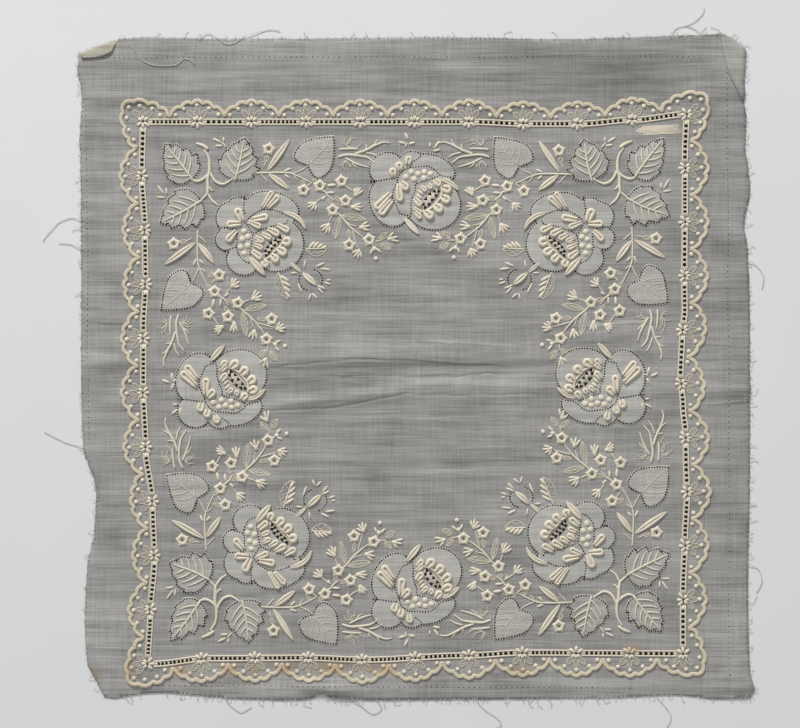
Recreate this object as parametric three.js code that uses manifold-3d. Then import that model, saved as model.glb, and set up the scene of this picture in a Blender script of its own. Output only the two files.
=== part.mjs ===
// An embroidered whitework handkerchief, lying face up on a flat surface.
// One square of lawn, its outer margin still uncut, with two corners turned over onto the face.
// Roses and leaves of a second lawn are applied to it. A ladder band with rosettes frames them,
// and a lobed, scalloped edging runs round the band.
// Millimetres. +Z is up, +Y is the top of the design, and the origin is under the middle of the cloth.
// The tables are measured from a point near that middle, and MIDDLE says where the middle lies from it.
import * as THREE from "three";
import { mergeVertices } from "three/addons/utils/BufferGeometryUtils.js";
import Module from "manifold-3d";

const wasm = await Module();
wasm.setup();

const MIDDLE = { x: 0.25, y: 0.93 };

// Thicknesses, and the gap kept between one layer of cloth and the next.
const CLOTH_THICKNESS = 1.0;
const LAYER_GAP = 0.3;
const APPLIQUE_THICKNESS = 0.6;
const TRIM_THICKNESS = 0.8;
const TURN_GAP = 0.4;

// The ladder band, as a rectangle along its middle, before the cloth is pulled out of square.
const BAND = { left: -152.6, right: 151.2, top: 137.5, bottom: -163.2, width: 5.0 };
const ROSETTES_A_SIDE = 10;
const ROSETTE = { petals: 8, inner: 2.8, outer: 4.7, middle: 0.3 };

// The scalloped edging: how far its valleys and crests lie outside the band, clockwise from the top side.
const SCALLOP = { valley: 4.6, lobes: 5, lobe: 1.2, steepness: 0.8, width: 1.9 };
const SCALLOP_CRESTS = [11.7, 12.6, 11.0, 13.4];
const CORNER_SCALLOP = { inset: 3.0, nearest: 14.9, furthest: 17.6, lobes: 7 };

// How far the band is pulled out of square along each side: at = place along the side, shift = rightwards or upwards.
const PULL = {
  left: [
    { at: -163, shift: 2.8 },
    { at: -136, shift: 4.1 },
    { at: -105, shift: 6.0 },
    { at: -75, shift: 5.0 },
    { at: -44, shift: 1.6 },
    { at: -10, shift: 0.3 },
    { at: 108, shift: -0.8 },
    { at: 137, shift: 0.0 },
  ],
  right: [
    { at: -163, shift: -1.4 },
    { at: -130, shift: -1.4 },
    { at: 0, shift: -0.8 },
    { at: 112, shift: -0.3 },
    { at: 142, shift: 0.6 },
  ],
  top: [
    { at: -153, shift: 0.0 },
    { at: 30, shift: 0.0 },
    { at: 62, shift: -1.1 },
    { at: 92, shift: -1.1 },
    { at: 122, shift: 1.1 },
    { at: 152, shift: 4.3 },
  ],
  bottom: [
    { at: -150, shift: -2.8 },
    { at: -118, shift: 0.3 },
    { at: -62, shift: 0.6 },
    { at: -30, shift: -0.5 },
    { at: 28, shift: 1.9 },
    { at: 60, shift: 3.5 },
    { at: 152, shift: 3.0 },
  ],
};

// The cut edges of the cloth: at = place along the edge, edge = where the edge lies.
const CLOTH_EDGES = {
  left: [
    { at: -167, edge: -183.8 },
    { at: -150, edge: -185.1 },
    { at: -130, edge: -185.1 },
    { at: -109, edge: -183.6 },
    { at: -100, edge: -181.6 },
    { at: -93, edge: -180.0 },
    { at: -75, edge: -178.9 },
    { at: -65, edge: -179.6 },
    { at: -55, edge: -183.0 },
    { at: -42, edge: -186.4 },
    { at: 0, edge: -187.3 },
    { at: 60, edge: -187.4 },
    { at: 113, edge: -187.7 },
    { at: 127, edge: -188.4 },
    { at: 151, edge: -186.9 },
    { at: 166, edge: -189.6 },
  ],
  right: [
    { at: -171, edge: 187.4 },
    { at: -156, edge: 186.8 },
    { at: -120, edge: 186.3 },
    { at: -60, edge: 187.2 },
    { at: 30, edge: 187.2 },
    { at: 65, edge: 186.0 },
    { at: 80, edge: 184.0 },
    { at: 100, edge: 187.4 },
    { at: 124, edge: 184.9 },
    { at: 141, edge: 185.6 },
  ],
  top: [
    { at: -150, edge: 185.3 },
    { at: -107, edge: 184.3 },
    { at: -37, edge: 184.6 },
    { at: 8, edge: 185.2 },
    { at: 79, edge: 184.0 },
    { at: 115, edge: 185.0 },
    { at: 160, edge: 186.3 },
  ],
  bottom: [
    { at: -168, edge: -185.3 },
    { at: -154, edge: -182.9 },
    { at: -139, edge: -182.3 },
    { at: -100, edge: -185.6 },
    { at: -63, edge: -186.2 },
    { at: -52, edge: -183.0 },
    { at: -39, edge: -186.2 },
    { at: 33, edge: -186.0 },
    { at: 108, edge: -185.0 },
    { at: 145, edge: -183.6 },
    { at: 167, edge: -186.0 },
  ],
};
// The four corners of the cut: two are turned over, one is cut away and one is blunt.
const BOTTOM_LEFT_CUT = [
  { x: -174.4, y: -184.8 },
  { x: -179.6, y: -174.6 },
];
const BOTTOM_RIGHT_TIP = [
  { x: 189.2, y: -177.0 },
  { x: 190.1, y: -180.6 },
  { x: 187.2, y: -185.2 },
];

// The turned corners: fold is the line of the turn, clockwise round the cloth, and inside is the free edge of the flap.
const TURNED_CORNERS = [
  {
    fold: [
      { x: -188.8, y: 176.0 },
      { x: -165.8, y: 184.3 },
    ],
    inside: [
      { x: -170.2, y: 176.6 },
      { x: -175.0, y: 174.3 },
      { x: -186.6, y: 172.8 },
    ],
  },
  {
    fold: [
      { x: 171.6, y: 187.0 },
      { x: 174.0, y: 186.2 },
      { x: 184.4, y: 179.3 },
      { x: 185.0, y: 172.0 },
      { x: 184.3, y: 161.0 },
      { x: 184.8, y: 154.0 },
      { x: 184.0, y: 148.0 },
    ],
    inside: [
      { x: 181.8, y: 151.2 },
      { x: 178.9, y: 157.6 },
      { x: 175.2, y: 165.5 },
      { x: 172.6, y: 175.0 },
    ],
  },
];

// The soft ridges left by folding: middle, half length, half width, direction in degrees, and height.
const RIDGES = [
  { x: -3, y: 6.5, length: 80, width: 6.5, turn: 1, rise: 1.5 },
  { x: -45, y: -18.5, length: 40, width: 4.5, turn: 6, rise: 1.5 },
  { x: 40, y: -13, length: 46, width: 4.5, turn: 0, rise: 1.3 },
  { x: -174, y: 2.5, length: 14, width: 4.5, turn: 0, rise: 1.4 },
  { x: 174, y: -13, length: 14, width: 4.5, turn: 2, rise: 1.5 },
  { x: -168, y: 151, length: 20, width: 5, turn: -3, rise: 1.4 },
  { x: 160, y: 151, length: 9, width: 6, turn: -35, rise: 1.6 },
  { x: -3, y: 74, length: 26, width: 5, turn: -24, rise: 1.2 },
  { x: -106, y: -38, length: 22, width: 5, turn: 5, rise: 1.2 },
  { x: 109, y: 18, length: 22, width: 5, turn: 8, rise: 1.2 },
  { x: -90, y: -64, length: 16, width: 5, turn: -6, rise: 1.1 },
  { x: -50, y: -180, length: 17, width: 4, turn: -9, rise: 1.8 },
  { x: 176, y: 72, length: 12, width: 5, turn: 4, rise: 1.2 },
  { x: -170, y: -82, length: 16, width: 9, turn: 78, rise: 1.3 },
  { x: 180, y: -176, length: 9, width: 6, turn: -55, rise: 1.6 },
];
const RIDGE_FOOT = 0.12;

// The grid that carries the ridges is close where the middle creases cross the cloth.
const GRID = { halfSide: 196, columns: 26, rowStep: 14, fineRowStep: 4.4, fineFrom: -30, fineTo: 22 };

// Petals of the two kinds of rose, from the back one to the front one.
const CORNER_ROSE = [
  { x: 7.5, y: 14.5, length: 15.3, width: 9.5, turn: -12 },
  { x: -15.5, y: 9, length: 10, width: 9.5, turn: 20 },
  { x: -11.5, y: 15.5, length: 6.5, width: 5.5, turn: 0 },
  { x: -19, y: -3.5, length: 7, width: 6.8, turn: 0 },
  { x: -10.5, y: -16, length: 9.5, width: 8, turn: -25 },
  { x: 9.5, y: -6.5, length: 16, width: 15.5, turn: 45 },
];
const SIDE_ROSE = [
  { x: -16, y: 13.5, length: 10, width: 9, turn: 30 },
  { x: -1.5, y: 18, length: 7, width: 5.5, turn: 0 },
  { x: 11, y: 13.5, length: 13, width: 7.5, turn: -22 },
  { x: -14.5, y: -6, length: 11.5, width: 14.5, turn: 20 },
  { x: 9.5, y: -6.5, length: 17, width: 15.5, turn: -20 },
];
const ROSE_OUTLINE_POINTS = 36;

// Leaves: how far down the leaf it is widest, how round it is, and how far a heart leaf's lobes reach back.
const PLAIN_LEAF = { bend: 0.6, roundness: 0.75, lobe: 0 };
const HEART_LEAF = { bend: 0.5, roundness: 0.8, lobe: 3.4 };
const LEAF_OUTLINE_POINTS = 22;

// Places of one quarter of the design, measured along a side of the band from its corner, and inwards.
// An upright row is measured along the left or right side, and the others along the top or bottom side.
const CORNER_ROSE_AT = { along: 64.8, inward: 62.4 };
const QUARTER_LEAVES = [
  { name: "leaf_corner", kind: PLAIN_LEAF, upright: false, width: 21.5, base: [28.4, 32.5], tip: [11.8, 11.6] },
  { name: "leaf_level", kind: PLAIN_LEAF, upright: false, width: 23.8, base: [52.0, 33.0], tip: [57.2, 8.2] },
  { name: "heart_leaf_level", kind: HEART_LEAF, upright: false, width: 23.6, base: [92.5, 24.8], tip: [107.4, 7.6] },
  { name: "leaf_upright", kind: PLAIN_LEAF, upright: true, width: 23.4, base: [43.9, 32.8], tip: [56.4, 7.9] },
  { name: "heart_leaf_upright", kind: HEART_LEAF, upright: true, width: 23.6, base: [89.8, 26.0], tip: [105.0, 9.0] },
];
const SIDE_ROSES = [
  { name: "rose_top", x: -0.3, y: 98.3, mirrorX: 1, mirrorY: 1 },
  { name: "rose_bottom", x: -1.4, y: -123.5, mirrorX: 1, mirrorY: -1 },
  { name: "rose_left", x: -108.9, y: -11.5, mirrorX: 1, mirrorY: -1 },
  { name: "rose_right", x: 105.0, y: -11.5, mirrorX: -1, mirrorY: -1 },
];
const QUARTERS = [
  { name: "top_left", mirrorX: 1, mirrorY: 1 },
  { name: "top_right", mirrorX: -1, mirrorY: 1 },
  { name: "bottom_left", mirrorX: 1, mirrorY: -1 },
  { name: "bottom_right", mirrorX: -1, mirrorY: -1 },
];

const radians = THREE.MathUtils.degToRad;

// Value of a table's column at a place, eased from row to row.
function readTable(rows, place, column) {
  if (place <= rows[0].at) return rows[0][column];
  for (let i = 1; i < rows.length; i++) {
    if (place <= rows[i].at) {
      const share = THREE.MathUtils.smoothstep(place, rows[i - 1].at, rows[i].at);
      return THREE.MathUtils.lerp(rows[i - 1][column], rows[i][column], share);
    }
  }
  return rows[rows.length - 1][column];
}

// Height of the cloth's underside: nought where it lies flat, more along the ridges.
function lieOfCloth(x, y) {
  let height = 0;
  for (const ridge of RIDGES) {
    const c = Math.cos(radians(ridge.turn));
    const s = Math.sin(radians(ridge.turn));
    const along = ((x - ridge.x) * c + (y - ridge.y) * s) / ridge.length;
    const across = ((y - ridge.y) * c - (x - ridge.x) * s) / ridge.width;
    height += ridge.rise * Math.exp(-(along ** 4) - across ** 2);
  }
  return Math.max(0, height - RIDGE_FOOT);
}

// Where a point of the square design lies on the pulled cloth.
function onCloth(x, y) {
  const u = THREE.MathUtils.clamp((x - BAND.left) / (BAND.right - BAND.left), 0, 1);
  const v = THREE.MathUtils.clamp((y - BAND.bottom) / (BAND.top - BAND.bottom), 0, 1);
  const leftShift = readTable(PULL.left, y, "shift");
  const rightShift = readTable(PULL.right, y, "shift");
  const topShift = readTable(PULL.top, x, "shift");
  const bottomShift = readTable(PULL.bottom, x, "shift");
  return new THREE.Vector2(
    x + leftShift * (1 - u) + rightShift * u,
    y + bottomShift * (1 - v) + topShift * v,
  );
}

// A design point given from a corner of the band: along the side and inwards from it.
function fromCorner(quarter, along, inward) {
  return {
    x: quarter.mirrorX > 0 ? BAND.left + along : BAND.right - along,
    y: quarter.mirrorY > 0 ? BAND.top - inward : BAND.bottom + inward,
  };
}

// Solids and meshes

function solidFromGeometry(geometry) {
  geometry.deleteAttribute("normal");
  geometry.deleteAttribute("uv");
  const merged = mergeVertices(geometry, 1e-4);
  return new wasm.Manifold(
    new wasm.Mesh({
      numProp: 3,
      vertProperties: merged.attributes.position.array,
      triVerts: new Uint32Array(merged.index.array),
    }),
  );
}

function meshFromSolid(name, solid, material) {
  const { vertProperties, triVerts } = solid.getMesh();
  const geometry = new THREE.BufferGeometry();
  geometry.setAttribute("position", new THREE.BufferAttribute(vertProperties, 3));
  geometry.setIndex(new THREE.BufferAttribute(triVerts, 1));
  geometry.computeVertexNormals();
  const mesh = new THREE.Mesh(geometry, material);
  mesh.name = name;
  return mesh;
}

function gridColumns() {
  const step = (2 * GRID.halfSide) / GRID.columns;
  return Array.from({ length: GRID.columns + 1 }, (_, i) => -GRID.halfSide + i * step);
}

function gridRows() {
  const rows = [];
  const stretches = [
    { from: -GRID.halfSide, to: GRID.fineFrom, step: GRID.rowStep },
    { from: GRID.fineFrom, to: GRID.fineTo, step: GRID.fineRowStep },
    { from: GRID.fineTo, to: GRID.halfSide, step: GRID.rowStep },
  ];
  for (const { from, to, step } of stretches) {
    const count = Math.round((to - from) / step);
    for (let i = 0; i < count; i++) rows.push(from + ((to - from) * i) / count);
  }
  rows.push(GRID.halfSide);
  return rows;
}

// A wide layer that follows the lie of the cloth, from one height above it to another.
function layer(lower, upper) {
  const columns = gridColumns();
  const rows = gridRows();
  const across = columns.length;
  const count = across * rows.length;
  const positions = new Float32Array(count * 6);
  rows.forEach((y, j) =>
    columns.forEach((x, i) => {
      const height = lieOfCloth(x, y);
      positions.set([x, y, height + upper], (j * across + i) * 3);
      positions.set([x, y, height + lower], (count + j * across + i) * 3);
    }),
  );
  const indices = [];
  const quad = (a, b, c, d) => indices.push(a, b, c, a, c, d);
  for (let j = 0; j < rows.length - 1; j++) {
    for (let i = 0; i < across - 1; i++) {
      const a = j * across + i;
      quad(a, a + 1, a + across + 1, a + across);
      quad(count + a, count + a + across, count + a + across + 1, count + a + 1);
    }
  }
  const top = (rows.length - 1) * across;
  for (let i = 0; i < across - 1; i++) {
    quad(count + i, count + i + 1, i + 1, i);
    quad(top + i, top + i + 1, count + top + i + 1, count + top + i);
  }
  for (let j = 0; j < rows.length - 1; j++) {
    const a = j * across;
    const b = a + across - 1;
    quad(a, a + across, count + a + across, count + a);
    quad(b + across, b, count + b, count + b + across);
  }
  const geometry = new THREE.BufferGeometry();
  geometry.setAttribute("position", new THREE.BufferAttribute(positions, 3));
  geometry.setIndex(indices);
  return solidFromGeometry(geometry);
}

// An upright prism on a plan outline.
function prism(outline, from, to) {
  const geometry = new THREE.ExtrudeGeometry(new THREE.Shape(outline), {
    depth: to - from,
    bevelEnabled: false,
  });
  geometry.translate(0, 0, from);
  return solidFromGeometry(geometry);
}

// Tall prisms for cutting shapes out of a layer, whole or as a ring.
const CUTTER = { from: -5, to: 12 };
function cutter(outline) {
  return prism(outline, CUTTER.from, CUTTER.to);
}

function ringCutter(outer, inner) {
  return cutter(outer).subtract(cutter(inner));
}

// The cloth

const vector = ({ x, y }) => new THREE.Vector2(x, y);

// The rows of an edge as a smooth run of points; place and edge are swapped on the top and bottom.
function edgeRun(rows, upright) {
  const points = rows.map(({ at, edge }) =>
    upright ? new THREE.Vector2(edge, at) : new THREE.Vector2(at, edge),
  );
  return new THREE.SplineCurve(points).getPoints(rows.length * 2);
}

// The cut edge all round, anticlockwise from the bottom left corner.
function clothOutline() {
  const [topLeft, topRight] = TURNED_CORNERS;
  return [
    ...edgeRun(CLOTH_EDGES.bottom, false),
    ...BOTTOM_RIGHT_TIP.map(vector).reverse(),
    ...edgeRun(CLOTH_EDGES.right, true),
    ...topRight.fold.map(vector).reverse(),
    ...edgeRun(CLOTH_EDGES.top, false).reverse(),
    ...topLeft.fold.map(vector).reverse(),
    ...edgeRun(CLOTH_EDGES.left, true).reverse(),
    ...BOTTOM_LEFT_CUT.map(vector).reverse(),
  ];
}

// Where the cloth turns over: a half round of its own thickness, with a short leg in each layer.
const TURN_LEG = 1.0;
const TURN_STEPS = 6;
function turnSection() {
  const inner = TURN_GAP / 2;
  const outer = inner + CLOTH_THICKNESS;
  const shape = new THREE.Shape();
  shape.moveTo(-TURN_LEG, 0);
  shape.lineTo(0, 0);
  shape.absarc(0, outer, outer, -Math.PI / 2, Math.PI / 2, false);
  shape.lineTo(-TURN_LEG, 2 * outer);
  shape.lineTo(-TURN_LEG, outer + inner);
  shape.lineTo(0, outer + inner);
  shape.absarc(0, outer, inner, Math.PI / 2, -Math.PI / 2, true);
  shape.lineTo(-TURN_LEG, outer - inner);
  return shape;
}

// The turn along one straight stretch of the fold, its ends lengthened to meet the next stretch.
function turnAlong(start, end) {
  const direction = end.clone().sub(start);
  const outer = TURN_GAP / 2 + CLOTH_THICKNESS;
  const reach = outer * 0.35;
  const geometry = new THREE.ExtrudeGeometry(turnSection(), {
    depth: direction.length() + 2 * reach,
    bevelEnabled: false,
    curveSegments: TURN_STEPS,
  });
  direction.normalize();
  const outward = new THREE.Vector3(-direction.y, direction.x, 0);
  const forward = new THREE.Vector3(direction.x, direction.y, 0);
  const placed = new THREE.Matrix4().makeBasis(outward, new THREE.Vector3(0, 0, 1), forward);
  placed.setPosition(start.x - forward.x * reach, start.y - forward.y * reach, 0);
  geometry.applyMatrix4(placed);
  return solidFromGeometry(geometry);
}

// A turned corner: the flap lying over the face, and the turn that joins it to the cloth.
function turnedCorner({ fold, inside }) {
  const line = fold.map(vector);
  const flapFrom = CLOTH_THICKNESS + TURN_GAP;
  let solid = prism([...line, ...inside.map(vector)].reverse(), flapFrom, flapFrom + CLOTH_THICKNESS);
  for (let i = 1; i < line.length; i++) solid = solid.add(turnAlong(line[i - 1], line[i]));
  return solid;
}

function groundCloth() {
  const flat = layer(0, CLOTH_THICKNESS).intersect(cutter(clothOutline()));
  return TURNED_CORNERS.reduce((solid, corner) => solid.add(turnedCorner(corner)), flat);
}

// The applied roses and leaves

// Distance from the rose's middle to the far side of a petal in a direction, or nought if it misses.
function reachOfPetal(petal, direction) {
  const turn = radians(petal.turn);
  const local = new THREE.Vector2(-petal.x, -petal.y).rotateAround(new THREE.Vector2(), -turn);
  const ray = new THREE.Vector2(Math.cos(direction - turn), Math.sin(direction - turn));
  const a = (ray.x / petal.length) ** 2 + (ray.y / petal.width) ** 2;
  const b = (local.x * ray.x) / petal.length ** 2 + (local.y * ray.y) / petal.width ** 2;
  const c = (local.x / petal.length) ** 2 + (local.y / petal.width) ** 2 - 1;
  const inside = b * b - a * c;
  return inside < 0 ? 0 : Math.max(0, (-b + Math.sqrt(inside)) / a);
}

function roseOutline(petals, { x, y, mirrorX, mirrorY }) {
  const points = [];
  for (let i = 0; i < ROSE_OUTLINE_POINTS; i++) {
    const direction = (2 * Math.PI * i) / ROSE_OUTLINE_POINTS;
    const reach = Math.max(...petals.map((petal) => reachOfPetal(petal, direction)));
    points.push(
      onCloth(x + mirrorX * reach * Math.cos(direction), y + mirrorY * reach * Math.sin(direction)),
    );
  }
  return points;
}

// One side of a leaf from its base to its tip, then the other side back.
function leafPoints({ bend, roundness, lobe }, length, width) {
  const points = [];
  for (let i = 0; i < LEAF_OUTLINE_POINTS; i++) {
    const t = (2 * Math.PI * i) / LEAF_OUTLINE_POINTS;
    const fromBase = Math.min(t, 2 * Math.PI - t);
    const share = (1 - Math.cos(t)) / 2;
    const along = length * share - lobe * Math.sin(Math.PI * Math.min(1, fromBase));
    const half = (width / 2) * Math.sin(Math.PI * share ** bend) ** roundness;
    points.push({ along, across: t < Math.PI ? half : -half });
  }
  return points;
}

function leafOutline(leaf, quarter) {
  const base = new THREE.Vector2(...leaf.base);
  const axis = new THREE.Vector2(...leaf.tip).sub(base);
  const length = axis.length();
  axis.normalize();
  return leafPoints(leaf.kind, length, leaf.width).map(({ along, across }) => {
    const a = base.x + along * axis.x - across * axis.y;
    const b = base.y + along * axis.y + across * axis.x;
    const { x, y } = leaf.upright ? fromCorner(quarter, b, a) : fromCorner(quarter, a, b);
    return onCloth(x, y);
  });
}

function appliedPieces(material) {
  const lowest = CLOTH_THICKNESS + LAYER_GAP;
  const sheet = layer(lowest, lowest + APPLIQUE_THICKNESS);
  const apply = (name, outline) => meshFromSolid(name, sheet.intersect(cutter(outline)), material);
  const pieces = SIDE_ROSES.map((rose) => apply(rose.name, roseOutline(SIDE_ROSE, rose)));
  for (const quarter of QUARTERS) {
    const middle = fromCorner(quarter, CORNER_ROSE_AT.along, CORNER_ROSE_AT.inward);
    pieces.push(apply(`rose_${quarter.name}`, roseOutline(CORNER_ROSE, { ...quarter, ...middle })));
    for (const leaf of QUARTER_LEAVES) {
      pieces.push(apply(`${leaf.name}_${quarter.name}`, leafOutline(leaf, quarter)));
    }
  }
  return pieces;
}

// The border

// The four sides of the band, clockwise, with their direction and the outward direction.
function bandSides() {
  const { left, right, top, bottom } = BAND;
  return [
    { x: left, y: top, dx: 1, dy: 0, length: right - left },
    { x: right, y: top, dx: 0, dy: -1, length: top - bottom },
    { x: right, y: bottom, dx: -1, dy: 0, length: right - left },
    { x: left, y: bottom, dx: 0, dy: 1, length: top - bottom },
  ];
}

// A point beside a side of the band: outward is to the left of its direction.
function besideBand(side, along, outward) {
  return onCloth(
    side.x + side.dx * along - side.dy * outward,
    side.y + side.dy * along + side.dx * outward,
  );
}

const BAND_STEPS = 10;
function bandLoop(outward) {
  const points = [];
  for (const side of bandSides()) {
    for (let i = 0; i < BAND_STEPS; i++) {
      const share = i / BAND_STEPS;
      const along = THREE.MathUtils.lerp(-outward, side.length + outward, share);
      points.push(besideBand(side, along, outward));
    }
  }
  return points;
}

function rosetteOutline(middle) {
  const points = [];
  for (let i = 0; i < 2 * ROSETTE.petals; i++) {
    const reach = i % 2 ? ROSETTE.inner : ROSETTE.outer;
    const direction = (Math.PI * (i + 0.5)) / ROSETTE.petals;
    points.push(
      new THREE.Vector2(middle.x + reach * Math.cos(direction), middle.y + reach * Math.sin(direction)),
    );
  }
  return points;
}

function ladderBand(material) {
  const half = BAND.width / 2;
  let plan = ringCutter(bandLoop(half).reverse(), bandLoop(-half).reverse());
  for (const side of bandSides()) {
    for (let i = 0; i < ROSETTES_A_SIDE; i++) {
      const middle = besideBand(side, (side.length * i) / ROSETTES_A_SIDE, ROSETTE.middle);
      plan = plan.add(cutter(rosetteOutline(middle)));
    }
  }
  const lowest = CLOTH_THICKNESS + LAYER_GAP;
  return meshFromSolid("ladder_band", layer(lowest, lowest + TRIM_THICKNESS).intersect(plan), material);
}

// How far a lobed line swings out at a share of its run.
function lobeSwing(share, lobes) {
  return SCALLOP.lobe * (Math.abs(Math.sin(Math.PI * lobes * share)) - 0.5);
}

// The scallop round a corner, from the last valley of one side to the first valley of the next.
function cornerScallop(side, pitch) {
  const { inset, nearest, furthest, lobes } = CORNER_SCALLOP;
  const valley = Math.atan2(SCALLOP.valley + inset, pitch / 2 - inset);
  const points = [];
  for (let i = 0; i < 2 * lobes; i++) {
    const share = i / (2 * lobes);
    const direction = THREE.MathUtils.lerp(Math.PI * 1.5 - valley, valley, share);
    const swell = THREE.MathUtils.lerp(nearest, furthest, Math.sin(Math.PI * share) ** 3);
    const reach = swell + lobeSwing(share, lobes);
    const along = inset + reach * Math.cos(direction);
    points.push(besideBand(side, along, reach * Math.sin(direction) - inset));
  }
  return points;
}

// One scallop of a side, centred on its rosette.
function sideScallop(side, pitch, rosette, crest) {
  const points = [];
  for (let i = 0; i < 2 * SCALLOP.lobes; i++) {
    const share = i / (2 * SCALLOP.lobes);
    const arch = Math.sin(Math.PI * share) ** SCALLOP.steepness;
    const swell = THREE.MathUtils.lerp(SCALLOP.valley, crest, arch);
    const outward = swell + lobeSwing(share, SCALLOP.lobes);
    points.push(besideBand(side, pitch * (rosette - 0.5 + share), outward));
  }
  return points;
}

function scallopLine() {
  const points = [];
  bandSides().forEach((side, i) => {
    const pitch = side.length / ROSETTES_A_SIDE;
    points.push(...cornerScallop(side, pitch));
    for (let rosette = 1; rosette < ROSETTES_A_SIDE; rosette++) {
      points.push(...sideScallop(side, pitch, rosette, SCALLOP_CRESTS[i]));
    }
  });
  return points;
}

// A clockwise loop moved outwards, each point square to the line through its neighbours.
function widened(loop, distance) {
  return loop.map((point, i) => {
    const before = loop[(i + loop.length - 1) % loop.length];
    const after = loop[(i + 1) % loop.length];
    const run = after.clone().sub(before).normalize();
    return new THREE.Vector2(point.x - run.y * distance, point.y + run.x * distance);
  });
}

function scallopEdging(material) {
  const half = SCALLOP.width / 2;
  const line = scallopLine();
  const lowest = CLOTH_THICKNESS + LAYER_GAP;
  const plan = ringCutter(widened(line, half).reverse(), widened(line, -half).reverse());
  const solid = layer(lowest, lowest + TRIM_THICKNESS).intersect(plan);
  return meshFromSolid("scallop_edging", solid, material);
}

// Materials and the finished group

const lawn = new THREE.MeshStandardMaterial({ color: 0xa3a29e, roughness: 0.9, metalness: 0 });
const appliedLawn = new THREE.MeshStandardMaterial({ color: 0xc0c0ba, roughness: 0.9, metalness: 0 });
const cotton = new THREE.MeshStandardMaterial({ color: 0xdcd4c0, roughness: 0.7, metalness: 0 });

const handkerchief = new THREE.Group();
handkerchief.name = "embroidered_handkerchief";
handkerchief.add(meshFromSolid("ground_cloth", groundCloth(), lawn));
handkerchief.add(...appliedPieces(appliedLawn));
handkerchief.add(ladderBand(cotton));
handkerchief.add(scallopEdging(cotton));
handkerchief.position.set(-MIDDLE.x, -MIDDLE.y, 0);

export default handkerchief;
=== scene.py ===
import math
import random

import bpy
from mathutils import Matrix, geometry, kdtree, noise


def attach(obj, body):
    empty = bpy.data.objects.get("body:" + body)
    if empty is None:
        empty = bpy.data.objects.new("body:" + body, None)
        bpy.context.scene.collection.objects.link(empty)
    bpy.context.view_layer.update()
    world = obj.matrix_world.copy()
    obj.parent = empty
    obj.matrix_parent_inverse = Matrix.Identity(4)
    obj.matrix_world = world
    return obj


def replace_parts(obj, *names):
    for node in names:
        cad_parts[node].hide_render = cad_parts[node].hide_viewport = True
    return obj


# The looks of an embroidered whitework handkerchief, laid face up on a pale floor.
# Plan tables are in millimetres, measured as in the part's source, and MIDDLE is where its middle lies.

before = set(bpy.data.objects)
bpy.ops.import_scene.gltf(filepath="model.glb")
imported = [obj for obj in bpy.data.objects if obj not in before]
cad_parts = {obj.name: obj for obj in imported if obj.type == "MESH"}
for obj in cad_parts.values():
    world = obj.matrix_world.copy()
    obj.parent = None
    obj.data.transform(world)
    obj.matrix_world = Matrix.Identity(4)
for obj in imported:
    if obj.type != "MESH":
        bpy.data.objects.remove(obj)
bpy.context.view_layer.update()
bpy.ops.object.select_all(action="DESELECT")
chance = random.Random(1862)

MM = 0.001
MIDDLE = (0.25, 0.93)

# The cloth: its thickness, how far its middle stands off the floor, how far in from its edge it sinks to
# the floor, and the gap left under the edge.
LAWN_THICKNESS = 0.33
LAWN_LIFT = 0.5
EDGE_SINK = 7.0
FLOOR_GAP = 0.02

# Levels above the face of the ground cloth.
ON_GROUND = -0.05
ON_PATCH = 0.28
# An applied piece: the levels of its underside and its edge, its rise, how wide its edge rolls, its fullness.
PATCH_UNDER = 0.03
PATCH_EDGE = 0.1
PATCH_RISE = 0.22
PATCH_ROLL = 1.4
PATCH_FULLNESS = 0.07

# The line of the ladder band, the rosettes along each side, and the scallops outside it: how far out their
# valleys lie, and their crests on the top, right, bottom and left sides.
BAND = {"left": -152.6, "right": 151.2, "top": 137.5, "bottom": -163.2}
ROSETTES_A_SIDE = 10
SCALLOP_VALLEY = 4.2
SCALLOP_CRESTS = (11.3, 12.4, 12.1, 11.6)
SCALLOP_LOBES = 5
SCALLOP_SWING = 1.6
SCALLOP_STEPS = 8
CORNER_SCALLOP = {"inset": 3.0, "nearest": 13.1, "furthest": 18.2, "squareness": 9, "lobes": 7, "steps": 9}
EDGING_PITCH = 0.75
EDGING_WIDTH = 2.15
EDGING_HEIGHT = 0.85

# How far the band is pulled out of square along each side: place along the side, shift.
PULL = {
    "left": (
        (-163, 2.8), (-136, 4.1), (-105, 6.5), (-75, 5.5), (-44, 1.6), (-10, 0.2), (24, 0.3), (48, 1.5),
        (80, 1.1), (108, -0.6), (137, 0),
    ),
    "right": ((-163, -1.4), (-130, -1.4), (0, -0.8), (112, -0.3), (142, 0.6)),
    "top": ((-153, 0), (30, 0), (62, -1.1), (92, -1.1), (122, 1.1), (152, 4.3)),
    "bottom": ((-150, -2.8), (-118, 0.3), (-62, 0.6), (-30, -0.5), (28, 1.9), (60, 3.5), (152, 3)),
}

# How the middle fold draws the right side of the band in, and lets it out below, in the same columns.
RIGHT_TUCK = (
    (-130, 0), (-97, 1.1), (-75, 2), (-53, 1.25), (-39, 0.8), (-26, -0.5), (-8, -2), (15, -1.1), (28, 0.3),
    (45, 0),
)
TUCK_FADE = 6

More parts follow.
